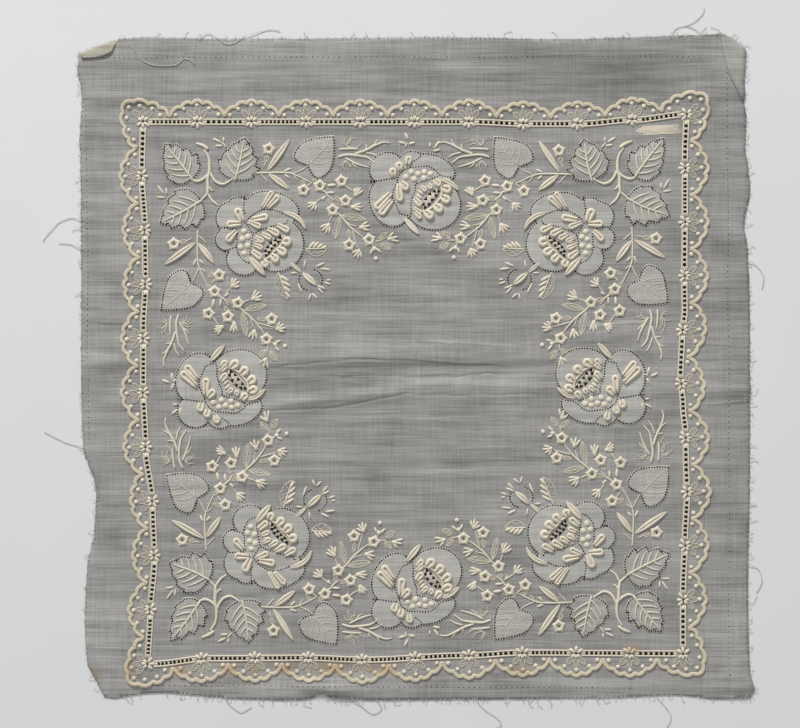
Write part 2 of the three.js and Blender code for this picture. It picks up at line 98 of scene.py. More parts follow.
# The cut edge, anticlockwise from the bottom left corner. The two turned corners end at their fold lines.
BOTTOM_EDGE = [
    (-168, -185.3), (-154, -182.9), (-139, -182.3), (-100, -185.6), (-63, -186.2), (-52, -183), (-39, -186.2),
    (33, -186), (108, -185), (145, -183.6), (167, -186),
]
BOTTOM_RIGHT_TIP = [(187.2, -185.2), (190.1, -180.6), (189.2, -177)]
RIGHT_EDGE = [
    (187.4, -171), (186.8, -156), (186.3, -120), (187.2, -60), (187.2, 30), (186, 65), (184, 80),
    (187.4, 100), (184.9, 124), (185.6, 141),
]
TOP_EDGE = [(160, 186.3), (115, 185), (79, 184), (8, 185.2), (-37, 184.6), (-107, 184.3), (-150, 185.3)]
LEFT_EDGE = [
    (-189.6, 166), (-186.9, 151), (-188.4, 127), (-187.7, 113), (-187.4, 60), (-187.3, 0), (-186.4, -42),
    (-183, -55), (-179.6, -65), (-178.9, -75), (-180, -93), (-181.6, -100), (-183.6, -109), (-185.1, -130),
    (-185.1, -150), (-183.8, -167),
]
BOTTOM_LEFT_CUT = [(-179.6, -174.6), (-174.4, -184.8)]
TURNED_CORNERS = [
    {
        "fold": [(-188.8, 176), (-165.8, 184.3)],
        "inside": [(-170.2, 176.6), (-175, 174.3), (-186.6, 172.8)],
        "doubling": 1.0,
    },
    {
        "fold": [
            (171.6, 187), (174, 186.2), (184.4, 179.3), (185, 172), (184.3, 161), (184.8, 154), (184, 148),
        ],
        "inside": [(181.8, 151.2), (178.9, 157.6), (175.2, 165.5), (172.6, 175)],
        "doubling": 0.15,
    },
]

# Soft ridges: middle, half length, half width, direction in degrees and height.
RIDGES = [
    (-3, 6.5, 80, 6.5, 1, 1.5),
    (-45, -18.5, 40, 4.5, 6, 1.5),
    (40, -13, 46, 4.5, 0, 1.3),
    (-174, 2.5, 14, 4.5, 0, 1.4),
    (174, -13, 14, 4.5, 2, 1.5),
    (-168, 151, 20, 5, -3, 1.4),
    (160, 151, 9, 6, -35, 1.6),
    (-3, 74, 26, 5, -24, 1.2),
    (-106, -38, 22, 5, 5, 1.2),
    (109, 18, 22, 5, 8, 1.2),
    (-90, -64, 16, 5, -6, 1.1),
    (-50, -180, 17, 4, -9, 1.8),
    (176, 72, 12, 5, 4, 1.2),
    (-170, -82, 16, 9, 78, 1.3),
    (180, -176, 9, 6, -55, 1.6),
]
RIDGE_FOOT = 0.12
# Finer creases that only the lawn itself has, in the same columns.
CREASES = [
    (-2, 0, 74, 1.6, 0.5, -0.45),
    (-4, 5.5, 78, 4.2, 0, 0.42),
    (4, -8, 60, 2.4, -1, 0.4),
    (2, 12, 2.2, 40, 0, 0.3),
    (-60, 22, 40, 2.2, 3, 0.3),
    (70, -24, 34, 2.0, -2, 0.35),
    (-20, 44, 50, 2.6, -3, 0.3),
    (30, -60, 55, 2.4, 2, 0.3),
    (-70, 158, 60, 2.4, 1, 0.35),
    (40, 166, 70, 2.6, -1, 0.35),
    (120, 160, 30, 2.0, 4, 0.3),
    (-172, 60, 2.4, 40, 2, 0.3),
    (172, -80, 2.6, 44, -2, 0.35),
    (172, 20, 2.2, 30, 2, 0.3),
    (-60, -180, 50, 2.0, 1, 0.3),
    (90, -179, 46, 2.2, -2, 0.3),
]

# Sharp creases pressed into the lawn: middle, half length, half width, direction in degrees and rise.
PRESSED = [
    (-60, 2.2, 24, 0.9, 6, -0.2),
    (-18, 4.2, 22, 0.8, -2, -0.22),
    (-24, -5, 30, 0.9, 0, -0.2),
    (30, -4.2, 28, 0.9, 2, -0.24),
    (-64, -23.4, 20, 0.8, 2, -0.2),
    (-27, -19.2, 25, 0.8, 11, -0.22),
    (34, -15.2, 40, 0.9, 0, -0.2),
    (-60, -18.5, 26, 2.4, 6, 0.34),
    (-18, -13.5, 24, 2.4, 8, 0.34),
    (30, -9.6, 34, 2.6, 0, 0.34),
    (20, 14, 22, 0.9, -4, 0.3),
    (24, 2.8, 30, 0.9, -3, 0.22),
    (0.6, 7.6, 7, 0.8, -72, 0.26),
    (3.2, -6.5, 9, 0.8, -86, 0.24),
    (-112, -34, 30, 1.0, 7, 0.22),
    (112, 24, 26, 1.0, 5, 0.22),
    (-172, 24, 16, 1.0, -2, -0.22),
    (172, -20, 16, 1.0, 4, 0.24),
]

# Petals of the two kinds of rose, the back one first: middle, half length, half width, direction in degrees.
CORNER_ROSE = [
    (7.5, 14.5, 15.3, 9.5, -12),
    (-15.5, 9, 10, 9.5, 20),
    (-11.5, 15.5, 6.5, 5.5, 0),
    (-19, -3.5, 7, 6.8, 0),
    (-10.5, -16, 9.5, 8, -25),
    (9.5, -6.5, 16, 15.5, 45),
]
SIDE_ROSE = [
    (-16, 13.5, 10, 9, 30),
    (-1.5, 18, 7, 5.5, 0),
    (11, 13.5, 13, 7.5, -22),
    (-14.5, -6, 11.5, 14.5, 20),
    (9.5, -6.5, 17, 15.5, -20),
]
CORNER_ROSE_AT = (64.8, 62.4)
# Roses at the middles of the sides: name, middle, mirroring.
SIDE_ROSES = [
    ("rose_top", (-0.3, 98.3), (1, 1)),
    ("rose_bottom", (-1.4, -123.5), (1, -1)),
    ("rose_left", (-108.9, -11.5), (1, -1)),
    ("rose_right", (105.0, -11.5), (-1, -1)),
]
QUARTERS = [
    {"name": "top_left", "mirror": (1, 1)},
    {"name": "top_right", "mirror": (-1, 1)},
    {"name": "bottom_left", "mirror": (1, -1)},
    {"name": "bottom_right", "mirror": (-1, -1)},
]
PLAIN_LEAF = {"bend": 0.6, "roundness": 0.75, "lobe": 0, "jogs": (3.2, 1.6), "doubling": 0.6}
HEART_LEAF = {"bend": 0.5, "roundness": 0.8, "lobe": 3.4, "jogs": (0, 0), "doubling": 1.0}
ROSE_DOUBLING = 0.9
LEAF_STEPS = 4.4
LEAF_POINTS = 120
ROSE_POINTS = 144
SEAM_INSET = 0.75
# Leaves of a quarter: name, kind, whether it is measured up the side, width, base and tip.
LEAVES = [
    ("leaf_corner", PLAIN_LEAF, False, 21.5, (28.4, 32.5), (11.8, 11.6)),
    ("leaf_level", PLAIN_LEAF, False, 23.8, (52, 33), (57.2, 8.2)),
    ("heart_leaf_level", HEART_LEAF, False, 23.6, (92.5, 24.8), (107.4, 7.6)),
    ("leaf_upright", PLAIN_LEAF, True, 23.4, (43.9, 32.8), (56.4, 7.9)),
    ("heart_leaf_upright", HEART_LEAF, True, 23.6, (89.8, 26), (105, 9)),
]

# Plan helpers


def eased(rows, place):
    """A table's value at a place, eased from row to row."""
    if place <= rows[0][0]:
        return rows[0][1]
    for (start, low), (end, high) in zip(rows, rows[1:]):
        if place <= end:
            share = (place - start) / (end - start)
            return low + (high - low) * share * share * (3 - 2 * share)
    return rows[-1][1]


def pulled(x, y):
    """Where a point of the square design lies on the pulled cloth."""
    u = min(1, max(0, (x - BAND["left"]) / (BAND["right"] - BAND["left"])))
    v = min(1, max(0, (y - BAND["bottom"]) / (BAND["top"] - BAND["bottom"])))
    across = eased(PULL["left"], y) * (1 - u) + eased(PULL["right"], y) * u
    across += eased(RIGHT_TUCK, y) * u**TUCK_FADE
    upward = eased(PULL["bottom"], x) * (1 - v) + eased(PULL["top"], x) * v
    return (x + across, y + upward)


def from_corner(quarter, along, inward):
    """A design point given along the top or bottom side from a corner of the band, and inwards."""
    right, up = quarter["mirror"]
    x = BAND["left"] + along if right > 0 else BAND["right"] - along
    y = BAND["top"] - inward if up > 0 else BAND["bottom"] + inward
    return (x, y)


def between(a, b, share):
    return (a[0] + (b[0] - a[0]) * share, a[1] + (b[1] - a[1]) * share)


def heading(a, b):
    """The length from one plan point to another, and the direction."""
    length = math.dist(a, b) or 1.0
    return length, (b[0] - a[0]) / length, (b[1] - a[1]) / length


def beside(start, tx, ty, along, across):
    """The point so far along a direction from a start, and so far to its left."""
    return (start[0] + tx * along - ty * across, start[1] + ty * along + tx * across)


def turned_by(degrees):
    angle = math.radians(degrees)
    return math.cos(angle), math.sin(angle)


def smooth(points, step=1.1, closed=False):
    """Close points on a smooth line through the given ones."""
    run = []
    count = len(points)
    for i in range(count if closed else count - 1):
        a = points[i]
        b = points[(i + 1) % count]
        before = points[i - 1] if closed or i else a
        after = points[(i + 2) % count] if closed or i + 2 < count else b
        steps = max(1, round(math.dist(a, b) / step))
        for k in range(steps):
            t = k / steps
            weights = (-t + 2 * t**2 - t**3, 2 - 5 * t**2 + 3 * t**3, t + 4 * t**2 - 3 * t**3, t**3 - t**2)
            corners = (before, a, b, after)
            run.append(tuple(sum(w * p[axis] for w, p in zip(weights, corners)) / 2 for axis in (0, 1)))
    if not closed:
        run.append(points[-1])
    return run


def evenly(path, pitch, closed=False):
    """Points at an even pitch along a line."""
    line = list(path) + [path[0]] if closed else list(path)
    total = sum(math.dist(a, b) for a, b in zip(line, line[1:]))
    count = max(2, round(total / pitch))
    gap = total / count
    run = [line[0]]
    walked = 0.0
    for a, b in zip(line, line[1:]):
        length = math.dist(a, b)
        while length and len(run) * gap <= walked + length + 1e-9 and len(run) <= count:
            run.append(between(a, b, (len(run) * gap - walked) / length))
        walked += length
    return run[:count] if closed else run


# The lie of the cloth


# How far a ridge or crease is felt along it and across it, against its half length and half width.
RIDGE_REACH = (1.8, 3.2)


def swell(rows, x, y):
    """Height that the soft ridges or creases of a table give a place."""
    height = 0.0
    for middle_x, middle_y, length, width, turn, rise in rows:
        c, s = turned_by(turn)
        along = ((x - middle_x) * c + (y - middle_y) * s) / length
        across = ((y - middle_y) * c - (x - middle_x) * s) / width
        if abs(along) < RIDGE_REACH[0] and abs(across) < RIDGE_REACH[1]:
            height += rise * math.exp(-(along**4) - across**2)
    return height


EDGE_STEP = 2.2
FOLD_STEP = 1.6
# Unevenness of the cut edge: how far it strays, how closely, and which layer of noise it takes.
RAGGEDNESS = [(0.5, 0.3, 4.0), (0.25, 1.3, 9.0)]


def cut_edge():
    """The cut edge all round, close enough to carry its frayed unevenness."""
    left_fold, right_fold = (corner["fold"][::-1] for corner in TURNED_CORNERS)
    run = []
    stretches = [BOTTOM_EDGE, BOTTOM_RIGHT_TIP, RIGHT_EDGE, right_fold]
    stretches += [TOP_EDGE, left_fold, LEFT_EDGE, BOTTOM_LEFT_CUT]
    for stretch in stretches:
        run += smooth(stretch, FOLD_STEP if stretch in (left_fold, right_fold) else EDGE_STEP)
    frayed = []
    for x, y in run:
        ragged = sum(far * noise.noise((x * close, y * close, layer)) for far, close, layer in RAGGEDNESS)
        reach = math.hypot(x, y)
        frayed.append((x * (1 + ragged / reach), y * (1 + ragged / reach)))
    return frayed


CUT_EDGE = cut_edge()


def nearest(path):
    tree = kdtree.KDTree(len(path))
    for i, (x, y) in enumerate(path):
        tree.insert((x, y, 0.0), i)
    tree.balance()
    return tree


def crossings(outline, y):
    found = []
    for (x0, y0), (x1, y1) in zip(outline, outline[1:] + outline[:1]):
        if (y0 > y) != (y1 > y):
            found.append(x0 + (x1 - x0) * (y - y0) / (y1 - y0))
    found.sort()
    return found


RELIEF_REACH = 212.0
RELIEF_STEP = 2.0
# The cloth's height is kept this far past its cut edge, for the yarns that leave it.
RELIEF_MARGIN = 2.9
RIPPLE = {"along": 46, "across": 7.5, "rise": 0.34}
PUCKER = {"along": 7, "across": 6, "rise": 0.2}
DEEPEST_CREASE = -0.45


def relief_rows():
    """Height of the cloth's face on a square grid, and of the floor beyond its edge."""
    tree = nearest(smooth(CUT_EDGE, 1.0, closed=True))
    count = int(2 * RELIEF_REACH / RELIEF_STEP) + 1
    rows = []
    for j in range(count):
        y = -RELIEF_REACH + j * RELIEF_STEP
        spans = crossings(CUT_EDGE, y)
        row = []
        for i in range(count):
            x = -RELIEF_REACH + i * RELIEF_STEP
            distance = tree.find((x, y, 0.0))[2]
            inside = sum(1 for cross in spans if cross < x) % 2 == 1
            if not inside and distance > RELIEF_MARGIN:
                row.append(0.0)
                continue
            depth = min(1.0, distance / EDGE_SINK) if inside else 0.0
            settle = math.sin(math.pi / 2 * depth)
            ripple = 0.5 + 0.5 * noise.noise((x / RIPPLE["along"], y / RIPPLE["across"], 2.0))
            pucker = 0.5 + 0.5 * noise.noise((x / PUCKER["along"], y / PUCKER["across"], 5.0))
            crease = max(DEEPEST_CREASE, swell(CREASES, x, y))
            fine = settle * (RIPPLE["rise"] * ripple + PUCKER["rise"] * pucker + crease)
            lie = max(0.0, swell(RIDGES, x, y) - RIDGE_FOOT)
            height = lie + fine + LAWN_LIFT * settle
            row.append(max(0.0, height) + LAWN_THICKNESS + FLOOR_GAP)
        rows.append(row)
    return rows


RELIEF = relief_rows()


def face(x, y):
    """Height of the cloth's face, or of the floor beyond the cloth."""
    across = (x + RELIEF_REACH) / RELIEF_STEP
    up = (y + RELIEF_REACH) / RELIEF_STEP
    i = int(across)
    j = int(up)
    across -= i
    up -= j
    low = RELIEF[j][i] + (RELIEF[j][i + 1] - RELIEF[j][i]) * across
    high = RELIEF[j + 1][i] + (RELIEF[j + 1][i + 1] - RELIEF[j + 1][i]) * across
    return low + (high - low) * up


# Meshes


class Work:
    """Points in metres, faces and thread measure, gathered to become one piece."""

    def __init__(self):
        self.points = []
        self.faces = []
        self.measure = []

    def add(self, x, y, z, along=0.0, across=0.0):
        self.points.append(((x - MIDDLE[0]) * MM, (y - MIDDLE[1]) * MM, z * MM))
        self.measure.append((along, across))

    def finish(self, name, material, slot):
        mesh = bpy.data.meshes.new(name)
        mesh.from_pydata(self.points, [], self.faces)
        layer = mesh.uv_layers.new(name="thread")
        corners = [0] * len(mesh.loops)
        mesh.loops.foreach_get("vertex_index", corners)
        layer.data.foreach_set("uv", [value for corner in corners for value in self.measure[corner]])
        mesh.materials.append(material)
        mesh.polygons.foreach_set("use_smooth", [True] * len(mesh.polygons))
        mesh.update()
        piece = bpy.data.objects.new(name, mesh)
        bpy.context.scene.collection.objects.link(piece)
        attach(piece, "root")
        return piece


def ring_of(count, power=0.85):
    angles = [math.pi * k / count for k in range(count + 1)]
    return [(math.cos(angle), max(0.0, math.sin(angle)) ** power) for angle in angles]


# Cross sections from the left side over the top to the right: across, rise.
ROUND = ring_of(6)
FINE = ring_of(4)
TWIN = [(1, 0), (0.88, 0.68), (0.52, 1), (0.18, 0.72), (0, 0.34)]
TWIN += [(-across, rise) for across, rise in TWIN[-2::-1]]
FLAT = [(1, 0), (1, 1), (-1, 1), (-1, 0)]
RIBBED = [(1, 0), (0.9, 0.62), (0.55, 1), (0.12, 0.86), (-0.12, 0.84), (-0.55, 0.96), (-0.9, 0.6), (-1, 0)]


def steady(share):
    return 1.0


def stalk(share):
    """A stem's share of its full width: it swells from its root and thins towards its tip."""
    if share < 0.12:
        return 0.72 + 0.28 * share / 0.12
    return 1.0 - 0.5 * max(0.0, share - 0.55) / 0.45


def almond(share):
    return max(0.06, math.sin(math.pi * share)) ** 0.62


def sweep(work, path, width, height, level, section=ROUND, shape=steady, closed=False):
    """A worked line laid along a path on the cloth, flat underneath."""
    count = len(path)
    start = len(work.points)
    run = 0.0
    for i, (x, y) in enumerate(path):
        before = path[i - 1] if i or closed else path[0]
        after = path[(i + 1) % count] if i < count - 1 or closed else path[-1]
        _, tx, ty = heading(before, after)
        if i:
            run += math.dist(path[i - 1], path[i])
        size = shape(i / max(1, count - 1))
        half = width / 2 * size
        tall = height * (0.3 + 0.7 * size)
        for across, rise in section:
            px, py = beside((x, y), tx, ty, 0, half * across)
            work.add(px, py, face(px, py) + level + tall * rise, run, half * across)
    ring = len(section)
    for i in range(count if closed else count - 1):
        here = start + i * ring
        there = start + (i + 1) % count * ring
        for k in range(ring):
            nxt = (k + 1) % ring
            work.faces.append((here + k, here + nxt, there + nxt, there + k))
    if not closed:
        work.faces.append(tuple(start + ring - 1 - k for k in range(ring)))
        work.faces.append(tuple(start + (count - 1) * ring + k for k in range(ring)))


def taken(piece):
    """A modelled shape's points and faces, kept to be copied, and the shape itself cleared away."""
    points = [tuple(vertex.co) for vertex in piece.data.vertices]
    faces = [tuple(polygon.vertices) for polygon in piece.data.polygons]
    mesh = piece.data
    bpy.data.objects.remove(piece)
    bpy.data.meshes.remove(mesh)
    return points, faces


def dome(segments, rings):
    bpy.ops.mesh.primitive_uv_sphere_add(segments=segments, ring_count=rings, radius=1)
    bpy.ops.object.mode_set(mode="EDIT")
    bpy.ops.mesh.select_all(action="SELECT")
    bpy.ops.mesh.bisect(plane_co=(0, 0, 0), plane_no=(0, 0, 1), use_fill=True, clear_inner=True)
    bpy.ops.object.mode_set(mode="OBJECT")
    return taken(bpy.context.object)


def peg(sides):
    bpy.ops.mesh.primitive_cone_add(vertices=sides, radius1=1, radius2=0.9, depth=1, location=(0, 0, 0.5))
    bpy.ops.object.transform_apply(location=True)
    return taken(bpy.context.object)


def torus():
    bpy.ops.mesh.primitive_torus_add(
        major_segments=14, minor_segments=6, major_radius=0.68, minor_radius=0.32
    )
    bpy.ops.object.mode_set(mode="EDIT")
    bpy.ops.mesh.select_all(action="SELECT")
    bpy.ops.transform.resize(value=(1, 1, 2.2))
    bpy.ops.object.mode_set(mode="OBJECT")
    return taken(bpy.context.object)


def pointed(shape):
    points, faces = shape
    return [(x, y * (0.9 - 0.32 * x), z * (0.9 - 0.2 * x)) for x, y, z in points], faces


def widening(shape):
    points, faces = shape
    return [(x, y * (0.84 + 0.3 * x), z) for x, y, z in points], faces


PAD = dome(8, 6)
GRAIN = dome(6, 4)
WEDGE = peg(3)
PEG = peg(6)
HOLE = peg(10)
RING = torus()
POINT = pointed(PAD)
DROP = widening(PAD)


def stamp(work, shape, start, end, width, height, level):
    """A copy of a modelled shape from one plan point to another, following the cloth."""
    points, faces = shape
    middle = between(start, end, 0.5)
    length, tx, ty = heading(middle, end)
    first = len(work.points)
    for along, across, rise in points:
        x, y = beside(middle, tx, ty, along * length, across * width / 2)
        work.add(x, y, face(x, y) + level + rise * height, across * width / 2, along * length)
    work.faces.extend(tuple(first + corner for corner in polygon) for polygon in faces)


def dot(work, shape, middle, radius, height, level):
    x, y = middle
    stamp(work, shape, (x - radius, y), (x + radius, y), 2 * radius, height, level)


# A sheet's inner points, against their spacing: how far apart their rows lie, where the first row lies,
# and how far from the outline they keep along a row and at the top.
GRID_ROW = 0.87
GRID_FIRST = 0.13
GRID_CLEAR = 0.45
GRID_TOP_CLEAR = 0.3


def inside_points(outline, spacing):
    """A close, staggered grid of points inside an outline."""
    low = min(y for _, y in outline)
    high = max(y for _, y in outline)
    points = []
    rows = int((high - low) / (spacing * GRID_ROW))
    for j in range(1, rows + 1):
        y = low + (j + GRID_FIRST) * spacing * GRID_ROW
        if y > high - GRID_TOP_CLEAR * spacing:
            break
        offset = spacing / 2 if j % 2 else 0.0
        spans = crossings(outline, y)
        for start, end in zip(spans[::2], spans[1::2]):
            x = math.ceil((start + GRID_CLEAR * spacing) / spacing) * spacing + offset
            while x < end - GRID_CLEAR * spacing:
                points.append((x, y))
                x += spacing
    return points


def sheet_of(work, outline, spacing, top, bottom, doubling=0.0):
    """A closed, thin sheet inside an outline, with both its skins and how opaque its lawn is."""
    points = list(outline) + inside_points(outline, spacing)
    edge = [list(range(len(outline)))]
    verts, _, faces, *_ = geometry.delaunay_2d_cdt(points, [], edge, 1, 1e-5)
    first = len(work.points)
    count = len(verts)
    for x, y in verts:
        work.add(x, y, top(x, y), doubling, 0.0)
    for x, y in verts:
        work.add(x, y, bottom(x, y), doubling, 0.0)
    directed = set()
    for polygon in faces:
        a, b, c = (verts[k] for k in polygon[:3])
        if (b[0] - a[0]) * (c[1] - a[1]) - (b[1] - a[1]) * (c[0] - a[0]) < 0:
            polygon = polygon[::-1]
        work.faces.append(tuple(first + k for k in polygon))
        work.faces.append(tuple(first + count + k for k in reversed(polygon)))
        directed.update(zip(polygon, list(polygon[1:]) + list(polygon[:1])))
    for a, b in directed:
        if (b, a) not in directed:
            work.faces.append((first + b, first + a, first + count + a, first + count + b))


def signed_area(outline):
    """Twice the area inside an outline, below nought where it runs clockwise."""
    return sum(x0 * y1 - x1 * y0 for (x0, y0), (x1, y1) in zip(outline, outline[1:] + outline[:1]))


def area_of(outline):
    return abs(signed_area(outline)) / 2 * MM * MM


def size_of(outline):
    width = max(x for x, _ in outline) - min(x for x, _ in outline)
    length = max(y for _, y in outline) - min(y for _, y in outline)
    return (width * MM, length * MM)


# Materials


class Flow:
    """What a node gives, so that sums and products of it read as plain arithmetic."""

    def __init__(self, tree, socket):
        self.tree = tree
        self.socket = socket

    def __add__(self, other):
        return maths(self.tree, "ADD", self, other)

    def __sub__(self, other):
        return maths(self.tree, "SUBTRACT", self, other)

    def __rsub__(self, other):
        return maths(self.tree, "SUBTRACT", other, self)

    def __mul__(self, other):
        return maths(self.tree, "MULTIPLY", self, other)

    def __pow__(self, other):
        return maths(self.tree, "POWER", self, other)


def feed(value, socket):
    """A socket set to a number or a colour, or joined to what a node gives."""
    if isinstance(value, Flow):
        value.tree.links.new(value.socket, socket)
    else:
        socket.default_value = (*value, 1) if isinstance(value, tuple) else value


def maths(tree, operation, *values):
    node = tree.nodes.new("ShaderNodeMath")
    node.operation = operation
    for socket, value in zip(node.inputs, values):
        feed(value, socket)
    return Flow(tree, node.outputs[0])


def summed(parts):
    total = parts[0]
    for part in parts[1:]:
        total = total + part
    return total


def group(name, inputs, outputs):
    """A group with number inputs and outputs: its tree, what it is given, and the sockets it ends in."""
    tree = bpy.data.node_groups.new(name, "ShaderNodeTree")
    for label, value in inputs.items():
        socket = tree.interface.new_socket(name=label, in_out="INPUT", socket_type="NodeSocketFloat")
        socket.default_value = value
    for label in outputs:
        tree.interface.new_socket(name=label, in_out="OUTPUT", socket_type="NodeSocketFloat")
    sockets = tree.nodes.new("NodeGroupInput").outputs
    given = {label: Flow(tree, sockets[label]) for label in inputs}
    return tree, given, tree.nodes.new("NodeGroupOutput").inputs


def used(tree, source, **values):
    """A group put to use with its inputs set, and what it gives by name."""
    node = tree.nodes.new("ShaderNodeGroup")
    node.node_tree = source
    for label, value in values.items():
        node.inputs[label].default_value = value
    return {output.name: Flow(tree, output) for output in node.outputs}


def object_point(tree, scale, middle=(0, 0, 0), turn=0.0, kind="POINT"):
    """The place on the cloth, scaled, or counted from a middle along a turned pair of axes."""
    place = tree.nodes.new("ShaderNodeTexCoord")
    mapping = tree.nodes.new("ShaderNodeMapping")
    mapping.vector_type = kind
    mapping.inputs["Location"].default_value = middle
    mapping.inputs["Rotation"].default_value = (0, 0, math.radians(turn))
    mapping.inputs["Scale"].default_value = scale
    tree.links.new(place.outputs["Object"], mapping.inputs["Vector"])
    return Flow(tree, mapping.outputs["Vector"])


def split(tree, vector):
    parts = tree.nodes.new("ShaderNodeSeparateXYZ")
    feed(vector, parts.inputs["Vector"])
    return {axis: Flow(tree, parts.outputs[axis]) for axis in "XYZ"}


def thread_measure(tree):
    """What a piece's thread map carries: X along a thread or the doubling of lawn, and Y across it."""
    measure = tree.nodes.new("ShaderNodeUVMap")
    measure.uv_map = "thread"
    return split(tree, Flow(tree, measure.outputs["UV"]))


def mix(tree, first, second, factor, kind="MIX"):
    """Two colours mixed, each a plain colour or what another node gives."""
    node = tree.nodes.new("ShaderNodeMix")
    node.data_type = "RGBA"
    node.blend_type = kind
    for number, value in ((0, factor), (6, first), (7, second)):
        feed(value, node.inputs[number])
    return Flow(tree, node.outputs[2])


def mottle(tree, scale, detail=3.0, roughness=0.55):
    """Noise stretched by a scale for each axis, from nought to one."""
    node = tree.nodes.new("ShaderNodeTexNoise")
    node.inputs["Scale"].default_value = 1.0
    node.inputs["Detail"].default_value = detail
    node.inputs["Roughness"].default_value = roughness
    feed(object_point(tree, scale), node.inputs["Vector"])
    return Flow(tree, node.outputs[0])


def around(tree, middle, half):
    """How near a place lies: one at its middle, nought from its rim outwards."""
    start = (-middle[0] / half[0], -middle[1] / half[1], 0)
    distance = tree.nodes.new("ShaderNodeVectorMath")
    distance.operation = "LENGTH"
    feed(object_point(tree, (1 / half[0], 1 / half[1], 0), start), distance.inputs[0])
    return maths(tree, "MAXIMUM", 1.0 - Flow(tree, distance.outputs["Value"]), 0.0)


# Foxed and dulled places: middle and half size in metres.
STAINS = [
    ((-0.047, -0.169), (0.016, 0.006)),
    ((-0.018, -0.170), (0.014, 0.005)),
    ((-0.180, -0.172), (0.006, 0.004)),
    ((0.121, -0.158), (0.006, 0.005)),
    ((0.059, -0.170), (0.009, 0.004)),
    ((-0.160, -0.170), (0.004, 0.008)),
    ((-0.130, -0.170), (0.008, 0.005)),
    ((-0.104, -0.170), (0.008, 0.005)),
    ((-0.090, -0.171), (0.005, 0.004)),
    ((-0.072, -0.169), (0.009, 0.004)),
]
# Places where the lawn's colour is made paler or darker than elsewhere: middle and half size in metres, and
# lift.
PALER_OR_DARKER_PLACES = [
    ((0.110, 0.165), (0.085, 0.030), -0.34),
    ((0.020, 0.165), (0.060, 0.024), -0.12),
    ((-0.176, -0.152), (0.022, 0.050), 0.34),
    ((0.178, -0.150), (0.022, 0.055), 0.28),
    ((-0.080, -0.180), (0.110, 0.014), 0.24),
    ((0.100, -0.180), (0.100, 0.014), 0.16),
    ((0.180, 0.172), (0.018, 0.022), 0.3),
]


def weave_group():
    """Slubs, thin places and clouding of a hand-spun plain weave, and places where its colour is made paler
    or darker.
    """
    tree, given, out = group("lawn weave", {"Slub": 0.3, "Clouding": 0.2}, ["Shade", "Height"])
    weft = mottle(tree, (34, 1100, 60), 3.0, 0.6)
    bands = mottle(tree, (10, 230, 60), 3.0, 0.6)
    warp = mottle(tree, (900, 36, 60), 2.0, 0.6)
    clouds = mottle(tree, (26, 34, 20), 3.0, 0.5)
    threads = weft * 0.5 + bands * 0.5 + warp * 0.22
    slub = (threads - 0.61) * given["Slub"]
    cloud = (clouds - 0.5) * given["Clouding"]
    place_tone = summed([around(tree, middle, half) * lift for middle, half, lift in PALER_OR_DARKER_PLACES])
    feed((slub + cloud + 1.0) * (place_tone + 1.0), out["Shade"])
    feed(threads, out["Height"])
    return tree


def pressed_group():
    """The lift of the lawn along its pressed creases, in millimetres."""
    tree, given, out = group("pressed creases", {"Depth": 1.0}, ["Height"])
    lifts = []
    for x, y, length, width, turn, rise in PRESSED:
        middle = ((x - MIDDLE[0]) * MM, (y - MIDDLE[1]) * MM, 0)
        place = split(tree, object_point(tree, (length * MM, width * MM, 1), middle, turn, "TEXTURE"))
        wander = mottle(tree, (60, 60, 60), 2.0) - 0.5
        across = place["Y"] + wander * (3.0 / width)
        along = maths(tree, "ABSOLUTE", place["X"]) ** 4.0
        away = along + across * across
        lifts.append(maths(tree, "EXPONENT", away * -1.0) * rise)
    feed(summed(lifts) * given["Depth"], out["Height"])
    return tree


def stain_group():
    """A mask of the few foxed places along the lower edge."""
    tree, given, out = group("foxing", {"Strength": 1.0}, ["Mask"])
    ragged = mottle(tree, (240, 300, 100), 3.0, 0.6)
    spots = summed([around(tree, middle, half) for middle, half in STAINS])
    feed(maths(tree, "MINIMUM", spots * ragged * given["Strength"], 1.0), out["Mask"])
    return tree


WEAVE = weave_group()
FOXING = stain_group()
CREASED = pressed_group()
FOX_BROWN = (0.42, 0.25, 0.1)
SHADOW = (0.016, 0.015, 0.014)


def tinted(tree, colour, shade, stain):
    """A colour made lighter and darker by a shade, and browned where it is stained."""
    return mix(tree, mix(tree, colour, shade, 1.0, "MULTIPLY"), FOX_BROWN, stain)


def bumped(tree, height, distance):
    node = tree.nodes.new("ShaderNodeBump")
    node.inputs["Distance"].default_value = distance
    node.inputs["Strength"].default_value = 1.0
    feed(height, node.inputs["Height"])
    return Flow(tree, node.outputs["Normal"])


def new_material(name, roughness, sheen):
    """A material, its tree and the sockets of its shader."""
    material = bpy.data.materials.new(name)
    material.use_nodes = True
    tree = material.node_tree
    sockets = tree.nodes["Principled BSDF"].inputs
    sockets["Roughness"].default_value = roughness
    sockets["Specular IOR Level"].default_value = 0.25
    sockets["Sheen Weight"].default_value = sheen
    sockets["Sheen Roughness"].default_value = 0.5
    return material, tree, sockets


def cloth_material(name, thin, dense, slub, clouding, relief, creased):
    """Lawn between a thin and a dense colour, by the doubling that its thread map carries."""
    material, tree, sockets = new_material(name, roughness=0.92, sheen=0.08)
    weave = used(tree, WEAVE, Slub=slub, Clouding=clouding)
    stain = used(tree, FOXING, Strength=0.7)["Mask"]
    colour = mix(tree, thin, dense, thread_measure(tree)["X"])
    feed(tinted(tree, colour, weave["Shade"], stain), sockets["Base Color"])
    height = weave["Height"] * relief + used(tree, CREASED, Depth=creased)["Height"]
    feed(bumped(tree, height, MM), sockets["Normal"])
    return material


